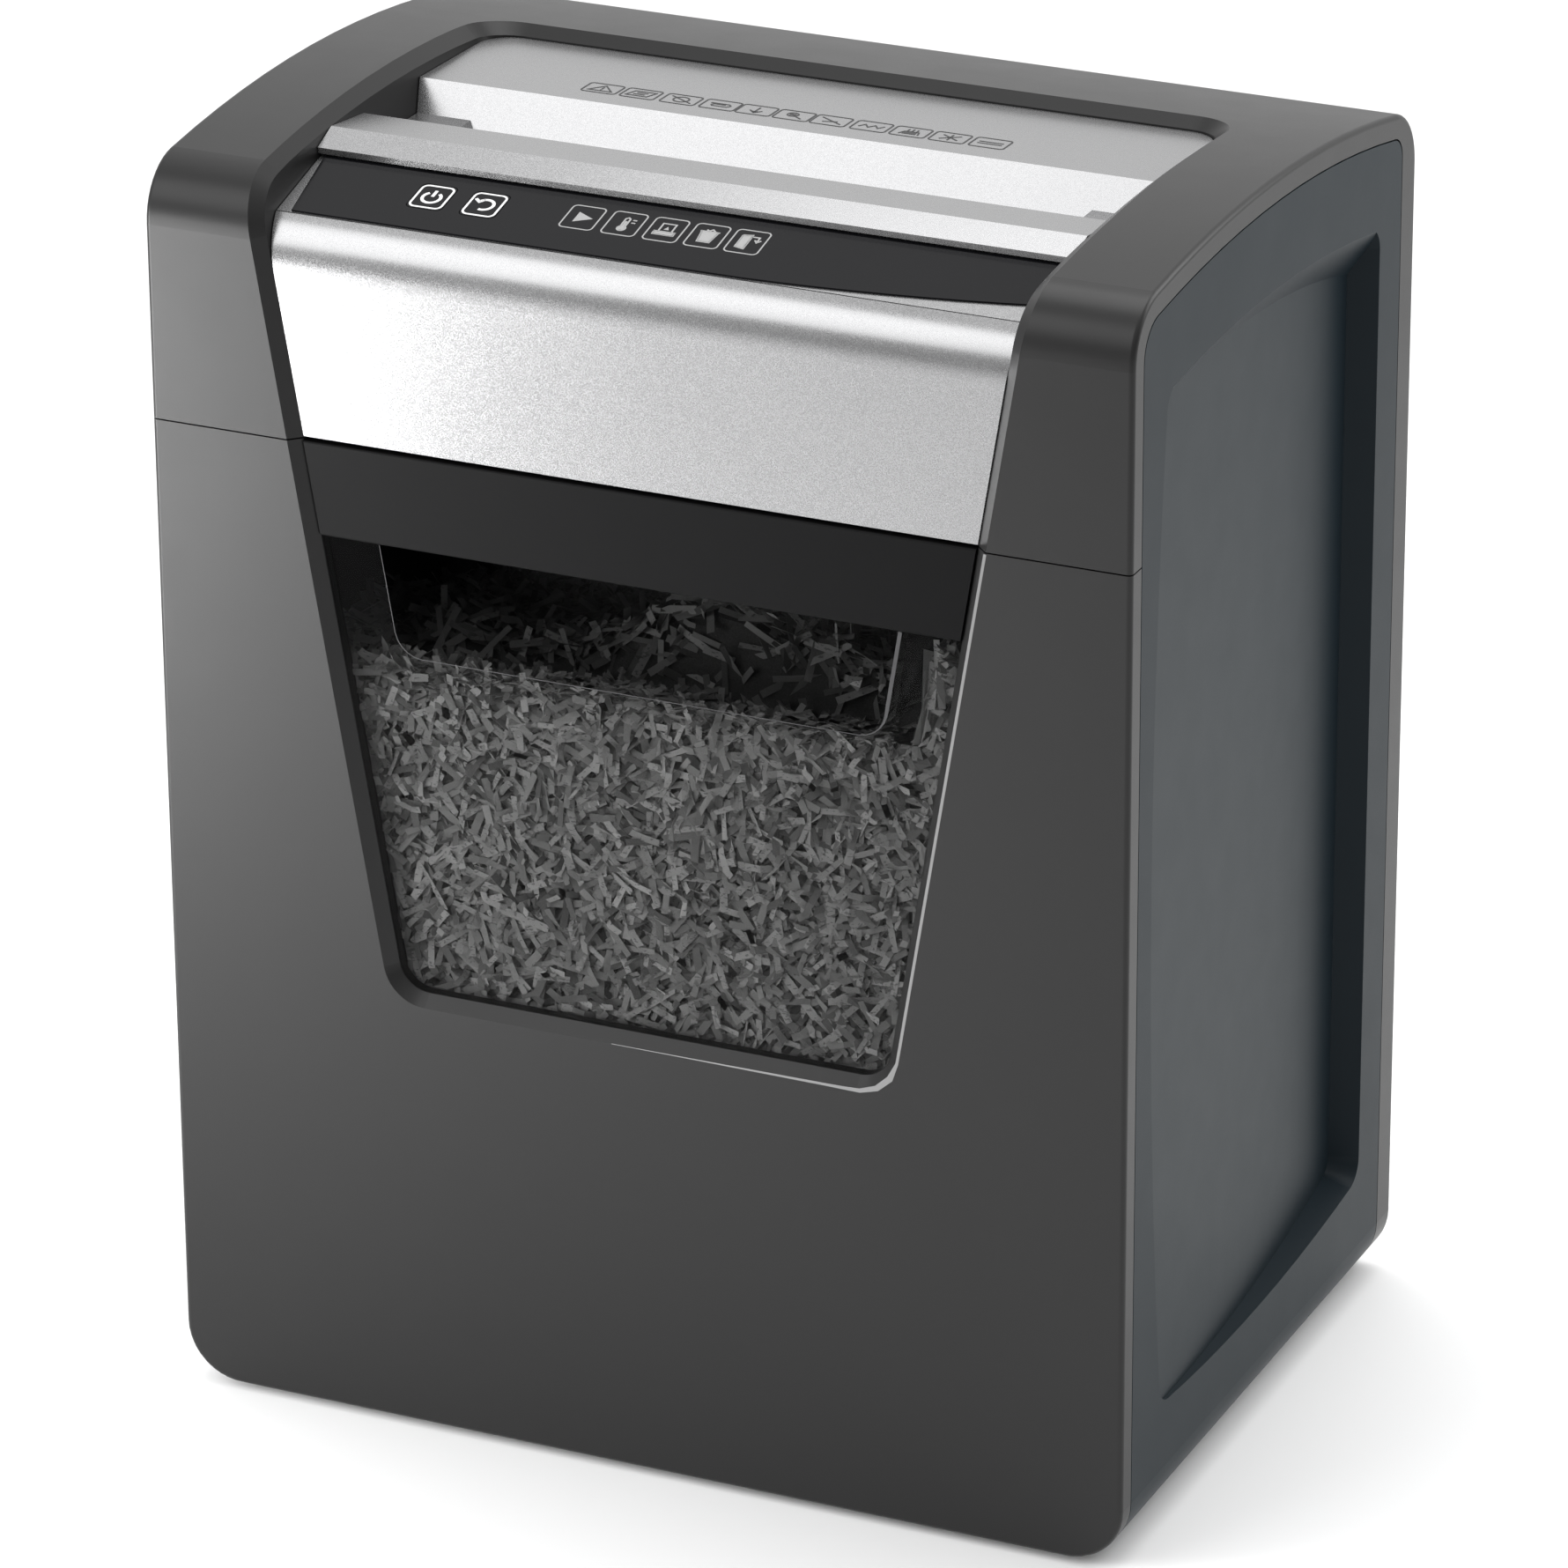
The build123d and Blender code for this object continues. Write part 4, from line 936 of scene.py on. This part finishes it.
@dataclass
class EdgeHighlights:
    """Painted highlights on edges: thin light lines round the hand pocket and beside the window."""

    pocket: Cup = Cup(0.086, 0.2810, 0.3188, 0.010)
    window: Cup = Cup(0.0907, 0.1576, 0.3515, 0.0149)
    pane_y: float = -0.1197
    front_y: float = -0.1235
    bevel_start: float = -0.01
    bevel_full: float = 0.088
    corner_reach: float = 0.012
    skin: float = 0.00006

    def ribbon(
        self, name: str, path: Array, width: Array, y: float, material: bpy.types.Material,
    ) -> bpy.types.Object:
        """A thin closed band on a plane that faces forwards.

        Args:
            name: The piece's name.
            path: Rows of x and z.
            width: The band's width at each row.
            y: Depth of the plane.
            material: Its finish.

        Returns:
            The piece.
        """
        run = np.gradient(path, axis=0)
        run /= np.linalg.norm(run, axis=1, keepdims=True)
        side = np.column_stack((-run[:, 1], run[:, 0])) * width[:, None] / 2.0
        rings = []
        for edge, depth in ((side, -self.skin), (-side, -self.skin), (-side, 0.0), (side, 0.0)):
            x, z = (path + edge).T
            rings.append(np.column_stack((x, np.full(len(path), y + depth), z)))
        points = np.stack(rings, axis=1).reshape(-1, 3)
        piece = build_piece(name, points, bar_faces(len(path)), material)
        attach(piece, "bin")
        return piece

    def build(self, finishes: Finishes) -> list[bpy.types.Object]:
        """Make the painted highlight lines on the pocket's mouth and the window's bevel.

        The first widens towards the right and above the pocket's floor. The second
        starts midway along the window's bottom, widens towards the right and is
        widest round the corner.

        Args:
            finishes: Every finish.

        Returns:
            The two pieces.
        """
        mouth = self.pocket.path()
        right = smooth_step(0.0, 0.9 * self.pocket.half, mouth[:, 0])
        right = right * smooth_step(0.0, self.corner_reach, mouth[:, 1] - self.pocket.low)
        mouth_width = 0.00024 + 0.0011 * right
        bevel = self.window.path()
        bevel = bevel[bevel[:, 0] > self.bevel_start]
        corner = np.exp(-(((bevel[:, 0] - self.window.half) / self.corner_reach) ** 2))
        corner = corner * (bevel[:, 1] < self.window.low + self.corner_reach)
        taper = smooth_step(self.bevel_start, self.bevel_full, bevel[:, 0])
        bevel_width = 0.0002 + 0.0008 * taper + 0.0012 * corner
        # Painted highlights: the bands are wider where the edge would catch more light, at the right and
        # round the corner.
        pieces = [
            self.ribbon("pocket_mouth_highlight", mouth, mouth_width, self.pane_y, finishes.mouth_highlight_finish),
            self.ribbon("window_bevel_highlight", bevel, bevel_width, self.front_y, finishes.bevel_highlight_finish),
        ]
        return pieces


# ---------------------------------------------------------------- shredded paper
@dataclass
class ShredHeap:
    """The paper in the bin: a core painted nearly black as shade, under thousands of curled cross-cut strips.
    """

    half_width: float = 0.1448
    front: float = -0.1104
    rear: float = 0.0999
    floor: float = 0.0129
    pocket_floor: float = 0.2778
    pocket_back: float = -0.0774
    pocket_half: float = 0.0975
    seed: int = 7
    head_room: float = 0.336
    layer_count: int = 5600
    crown_count: int = 6200
    core_sunk: float = 0.006
    length: Point = (0.010, 0.020)
    width: Point = (0.0018, 0.0028)
    curl: float = 5.0
    twist: float = 9.0
    skin: float = 0.00006

    def surface(self, x: Array, y: Array) -> Array:
        """Height of the heap.

        A level of 267 mm rises by 7.5 mm near the left wall and by 3 mm towards the
        right. Beside the hand pocket on the right it rises by 32 mm more, less
        towards the rear. Under the pocket it sinks by 10 mm. Behind the pocket stands
        a ridge of 22 mm, wider on its right flank. The whole falls by 30 mm to the
        rear, and carries a ripple of 1.6 mm.

        Args:
            x: Positions across.
            y: Positions along.

        Returns:
            The heights in metres.
        """
        level = 0.267 + 0.0075 * smooth_step(-0.112, -0.092, x) + 0.003 * smooth_step(-0.08, 0.05, x)
        right = 0.032 * smooth_step(0.084, 0.104, x) * (1.0 - smooth_step(-0.04, 0.06, y))
        shelf = smooth_step(-0.107, -0.102, y) * (1.0 - smooth_step(-0.0785, -0.0765, y))
        under = shelf * (1.0 - smooth_step(0.09, 0.10, x))
        spread = np.exp(-(((x - 0.008) / np.where(x < 0.008, 0.036, 0.060)) ** 2))
        mound = spread * smooth_step(-0.0785, -0.071, y) * (1.0 - smooth_step(-0.02, 0.07, y))
        fall = -0.030 * smooth_step(-0.060, 0.080, y)
        ripple = 0.0016 * np.sin(61.0 * x + 3.0 * np.sin(40.0 * y)) * np.cos(53.0 * y)
        return level + right - 0.010 * under + 0.022 * mound + fall + ripple

    def core(self, material: bpy.types.Material) -> bpy.types.Object:
        """The closed body under the strips.

        A grid over the plan, sunk a little under the heap's surface, with walls
        down to a floor.

        Args:
            material: The paper.

        Returns:
            The piece.
        """
        across, along = 60, 44
        inset, below = 0.006, across * along
        x = np.linspace(-self.half_width + inset, self.half_width - inset, across)
        y = np.linspace(self.front + inset, self.rear - inset, along)
        gx, gy = np.meshgrid(x, y, indexing="ij")
        top = self._kept_inside(np.stack((gx, gy, self.surface(gx, gy) - self.core_sunk), -1).reshape(-1, 3))
        low = np.stack((gx, gy, np.full_like(gx, self.floor)), -1).reshape(-1, 3)
        number = np.arange(below).reshape(across, along)
        a, b, c, d = number[:-1, :-1], number[1:, :-1], number[1:, 1:], number[:-1, 1:]
        lid = np.stack((a, b, c, d), -1).reshape(-1, 4)
        base = lid[:, ::-1] + below
        walls = []
        for edge in (number[:, 0], number[-1, :], number[::-1, -1], number[0, ::-1]):
            walls.append(np.stack((edge[1:], edge[:-1], edge[:-1] + below, edge[1:] + below), -1))
        faces = np.vstack((lid, base, *walls))
        piece = build_piece("heap_core", np.vstack((top, low)), faces, material)
        # Painted shade: a lightness of 0 makes the core nearly black, for the shade under and between the
        # strips.
        self._store_tone_and_shade(piece, np.zeros(len(piece.data.vertices)))
        return piece

    @staticmethod
    def _store_tone_and_shade(piece: bpy.types.Object, tone_and_shade: Array) -> None:
        """Store each point's paper lightness, with painted shade in it, as an attribute."""
        attribute = piece.data.attributes.new("tone_and_shade", "FLOAT", "POINT")
        attribute.data.foreach_set("value", tone_and_shade.astype(np.float32))

    def strips(
        self, name: str, centres: Array, normals: Array, tone_and_shade: Array, wild: float, rng: np.random.Generator,
        material: bpy.types.Material,
    ) -> bpy.types.Object:
        """Curled paper strips.

        A strip lies along a random direction square to its own tilted normal. Its
        middle line bends away from the normal with the square of the distance from
        its centre, and its section turns with that distance. It has four stations
        of four corners, so it is a closed thin bar.

        Args:
            name: The piece's name.
            centres: Middle of each strip, one row each.
            normals: The heap's outward normal at each strip.
            tone_and_shade: How light each strip is, from 0 to 1: its paper's own lightness times painted
                shade.
            wild: How far a strip tilts out of the heap's surface.
            rng: The random source.
            material: The paper.

        Returns:
            The piece.
        """
        count, stations = len(centres), 4
        out = normals + wild * rng.normal(size=(count, 3))
        out /= np.linalg.norm(out, axis=1, keepdims=True)
        along = np.cross(out, rng.normal(size=(count, 3)))
        along /= np.linalg.norm(along, axis=1, keepdims=True)
        side = np.cross(out, along)
        length = rng.uniform(*self.length, count)
        width = rng.uniform(*self.width, count)
        curl = rng.normal(0.0, self.curl, count)
        twist = rng.normal(0.0, self.twist, count)
        s = np.linspace(-0.5, 0.5, stations)[None, :] * length[:, None]
        bend = (curl[:, None] * s**2)[..., None]
        middle = centres[:, None] + along[:, None] * s[..., None] - out[:, None] * bend
        angle = twist[:, None] * s
        across = side[:, None] * np.cos(angle)[..., None] + out[:, None] * np.sin(angle)[..., None]
        thick = out[:, None] * np.cos(angle)[..., None] - side[:, None] * np.sin(angle)[..., None]
        half = 0.5 * width[:, None, None]
        left, right, lift = middle - across * half, middle + across * half, thick * self.skin
        corners = np.stack((left + lift, right + lift, right - lift, left - lift), axis=2)
        corners = self._kept_inside(corners.reshape(-1, 3))
        faces = bar_faces(stations)
        all_faces = (faces[None] + (np.arange(count) * stations * 4)[:, None, None]).reshape(-1, 4)
        piece = build_piece(name, corners, all_faces, material)
        self._store_tone_and_shade(piece, np.repeat(tone_and_shade, stations * 4))
        return piece

    def _kept_inside(self, points: Array) -> Array:
        """Hold points between the bin's walls and out of the hand pocket.

        A point in the pocket goes to its back wall or under its floor, whichever is
        nearer.

        Args:
            points: Positions, one row each.

        Returns:
            The held positions.
        """
        low = np.array([-self.half_width, self.front - 0.0036, self.floor])
        high = np.array([self.half_width, self.rear, self.head_room])
        held = np.clip(points, low, high)
        x, y, z = held.T
        inside = (np.abs(x) < self.pocket_half) & (y < self.pocket_back) & (z > self.pocket_floor)
        behind = inside & (self.pocket_back - y < z - self.pocket_floor)
        held[behind, 1] = self.pocket_back
        held[inside & ~behind, 2] = self.pocket_floor
        return held

    def window_layer(
        self, name: str, near: float, deep: float, rng: np.random.Generator, paper: bpy.types.Material,
    ) -> bpy.types.Object:
        """Strips that lie against the window, painted darker the deeper they lie, as painted shade inside the
        bin.

        Args:
            name: The piece's name.
            near: Distance of the nearest strips behind the heap's front.
            deep: Distance of the farthest.
            rng: The random source.
            paper: The paper.

        Returns:
            The piece.
        """
        count = self.layer_count
        share = rng.uniform(0.0, 1.0, count)
        x = rng.uniform(-0.128, 0.124, count)
        y = self.front + near + (deep - near) * share
        top = self.surface(x, np.full(count, self.front))
        z = 0.148 + (top - 0.149) * rng.uniform(0.0, 1.0, count)
        # Painted shade: strips farther behind the window are darkened by 90 per metre, down to 0.06 of their
        # lightness.
        tone_and_shade = rng.beta(2.4, 2.0, count) * np.clip(1.0 - 90.0 * (y - self.front), 0.06, 1.0)
        normals = np.tile((0.0, -1.0, 0.25), (count, 1))
        return self.strips(name, np.column_stack((x, y, z)), normals, tone_and_shade, 0.36, rng, paper)

    def crown(self, rng: np.random.Generator, paper: bpy.types.Material) -> bpy.types.Object:
        """Strips that lie on top of the heap, square to its slope.

        They lie denser towards the front. They are painted darker the deeper they
        are sunk, as painted shade between the strips, and darker again behind the hand
        pocket, as painted shade inside the closed bin.

        Args:
            rng: The random source.
            paper: The paper.

        Returns:
            The piece.
        """
        count = self.crown_count
        x = rng.uniform(-0.138, 0.138, count)
        y = self.front + 0.001 + (self.rear - self.front - 0.007) * rng.uniform(0.0, 1.0, count) ** 1.8
        depth = rng.beta(1.1, 1.8, count)
        z = self.surface(x, y) - depth * 0.007
        step = 0.002
        slope_x = (self.surface(x + step, y) - self.surface(x - step, y)) / (2 * step)
        slope_y = (self.surface(x, y + step) - self.surface(x, y - step)) / (2 * step)
        normals = np.column_stack((-slope_x, -slope_y, np.ones(count)))
        normals /= np.linalg.norm(normals, axis=1, keepdims=True)
        # Painted shade: strips behind the hand pocket are darkened, and sunk strips darker still.
        shade = 1.0 - 0.55 * smooth_step(-0.070, -0.050, y)
        tone_and_shade = rng.beta(2.4, 2.0, count) * (1.0 - 0.8 * depth) * shade
        return self.strips("crown_strips", np.column_stack((x, y, z)), normals, tone_and_shade, 0.45, rng, paper)

    def build(self, finishes: Finishes) -> list[bpy.types.Object]:
        """Make the core, two layers of strips against the window and the crown."""
        rng = np.random.default_rng(self.seed)
        paper = finishes.made["shredded_paper"]
        pieces = [
            self.core(paper),
            self.window_layer("window_strips_near", -0.0022, 0.0035, rng, paper),
            self.window_layer("window_strips_deep", 0.0025, 0.0095, rng, paper),
            self.crown(rng, paper),
        ]
        for piece in pieces:
            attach(piece, "bin")
        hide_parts("shredded_paper")
        return pieces


# ---------------------------------------------------------------- studio
@dataclass
class SoftBox:
    """One square studio light aimed at a point."""

    name: str
    place: tuple[float, float, float]
    target: tuple[float, float, float]
    width: float
    height: float
    watts: float

    def build(self) -> None:
        """Make the light."""
        lamp = bpy.data.lights.new(self.name, "AREA")
        lamp.shape = "RECTANGLE"
        lamp.size, lamp.size_y, lamp.energy = self.width, self.height, self.watts
        made = bpy.data.objects.new(self.name, lamp)
        bpy.context.scene.collection.objects.link(made)
        aim = Vector(self.target) - Vector(self.place)
        made.rotation_mode = "QUATERNION"
        made.rotation_quaternion = aim.to_track_quat("-Z", "Y")
        made.location = self.place


@dataclass
class Studio:
    """Camera, floor, surroundings and soft lights."""

    azimuth: float = 24.641
    elevation: float = 23.363
    roll: float = -0.3745
    camera_place: tuple[float, float, float] = (1.08289, -2.36810, 1.32799)
    lens: float = 192.99
    surround: float = 0.25
    from_left: float = 0.45
    from_behind: float = 0.55
    from_above: float = 0.80
    lights: tuple[SoftBox, ...] = (
        SoftBox("key", (-0.58, -0.60, 0.20), (-0.15, -0.12, 0.20), 0.30, 0.40, 6.0),
        SoftBox("brow", (-0.95, -1.35, 1.60), (-0.05, 0.0, 0.40), 1.3, 1.1, 11.0),
        SoftBox("fill", (0.62, 0.35, 0.72), (0.17, 0.03, 0.40), 0.5, 0.5, 2.5),
        SoftBox("top", (0.0, 0.3, 2.1), (0.0, 0.0, 0.3), 1.5, 1.2, 16.0),
    )

    def build(self) -> None:
        """Set the whole studio up."""
        self._camera()
        self._floor()
        self._world()
        for light in self.lights:
            light.build()
        bpy.context.scene.view_settings.view_transform = "Standard"

    def _camera(self) -> None:
        """Place the camera from its azimuth, elevation and roll."""
        data = bpy.data.cameras.new("camera")
        data.lens, data.sensor_width = self.lens, 36.0
        data.clip_start, data.clip_end = 0.05, 40.0
        camera = bpy.data.objects.new("camera", data)
        bpy.context.scene.collection.objects.link(camera)
        turn, tilt = math.radians(self.azimuth), math.radians(self.elevation)
        back = Vector((math.sin(turn) * math.cos(tilt), -math.cos(turn) * math.cos(tilt), math.sin(tilt)))
        aim = (-back).to_track_quat("-Z", "Y").to_matrix()
        spin = Matrix.Rotation(math.radians(self.roll), 3, back)
        camera.matrix_world = Matrix.Translation(self.camera_place) @ (spin @ aim).to_4x4()
        bpy.context.scene.camera = camera

    def _floor(self) -> None:
        """Lay the plain pale floor."""
        g = MaterialGraph("studio floor")
        material = g.surface({"Base Color": (0.93, 0.93, 0.93), "Roughness": 0.9})
        corners = np.array([(-9.0, -9.0, 0.0), (9.0, -9.0, 0.0), (9.0, 9.0, 0.0), (-9.0, 9.0, 0.0)])
        build_piece("studio_floor", corners, [[0, 1, 2, 3]], material)

    def _world(self) -> None:
        """Light the surroundings: an even level, more from the left, behind and above.

        The share from a side is the direction's component towards it, where that
        is above 0, and squared for the left.
        """
        world = bpy.data.worlds.new("surroundings")
        bpy.context.scene.world = world
        world.use_nodes = True
        g = Graph(world.node_tree)
        direction = g.node("ShaderNodeTexCoord", {}, {}, "Generated")
        x = g.node("ShaderNodeSeparateXYZ", {}, {"Vector": direction}, "X")
        y = g.node("ShaderNodeSeparateXYZ", {}, {"Vector": direction}, "Y")
        z = g.node("ShaderNodeSeparateXYZ", {}, {"Vector": direction}, "Z")
        left = (0.0 - x).clamped()
        level = left * left * self.from_left + y.clamped() * self.from_behind + z.clamped() * self.from_above
        ground = g.tree.nodes["Background"]
        ground.inputs["Color"].default_value = (1.0, 1.0, 1.0, 1.0)
        g.tree.links.new((level + self.surround).socket, ground.inputs["Strength"])


def main() -> None:
    """Build the studio, dress the CAD nodes and add the modelled pieces."""
    logging.basicConfig(level=logging.INFO, format="%(message)s")
    Studio().build()
    finishes = Finishes()
    finishes.dress()
    for maker in (ShredHeap(), EdgeHighlights(), ControlMarks(), RearPlateMarks()):
        for piece in maker.build(finishes):
            LOG.info("%s: %d faces", piece.name, len(piece.data.polygons))


if __name__ == "__main__":
    main()
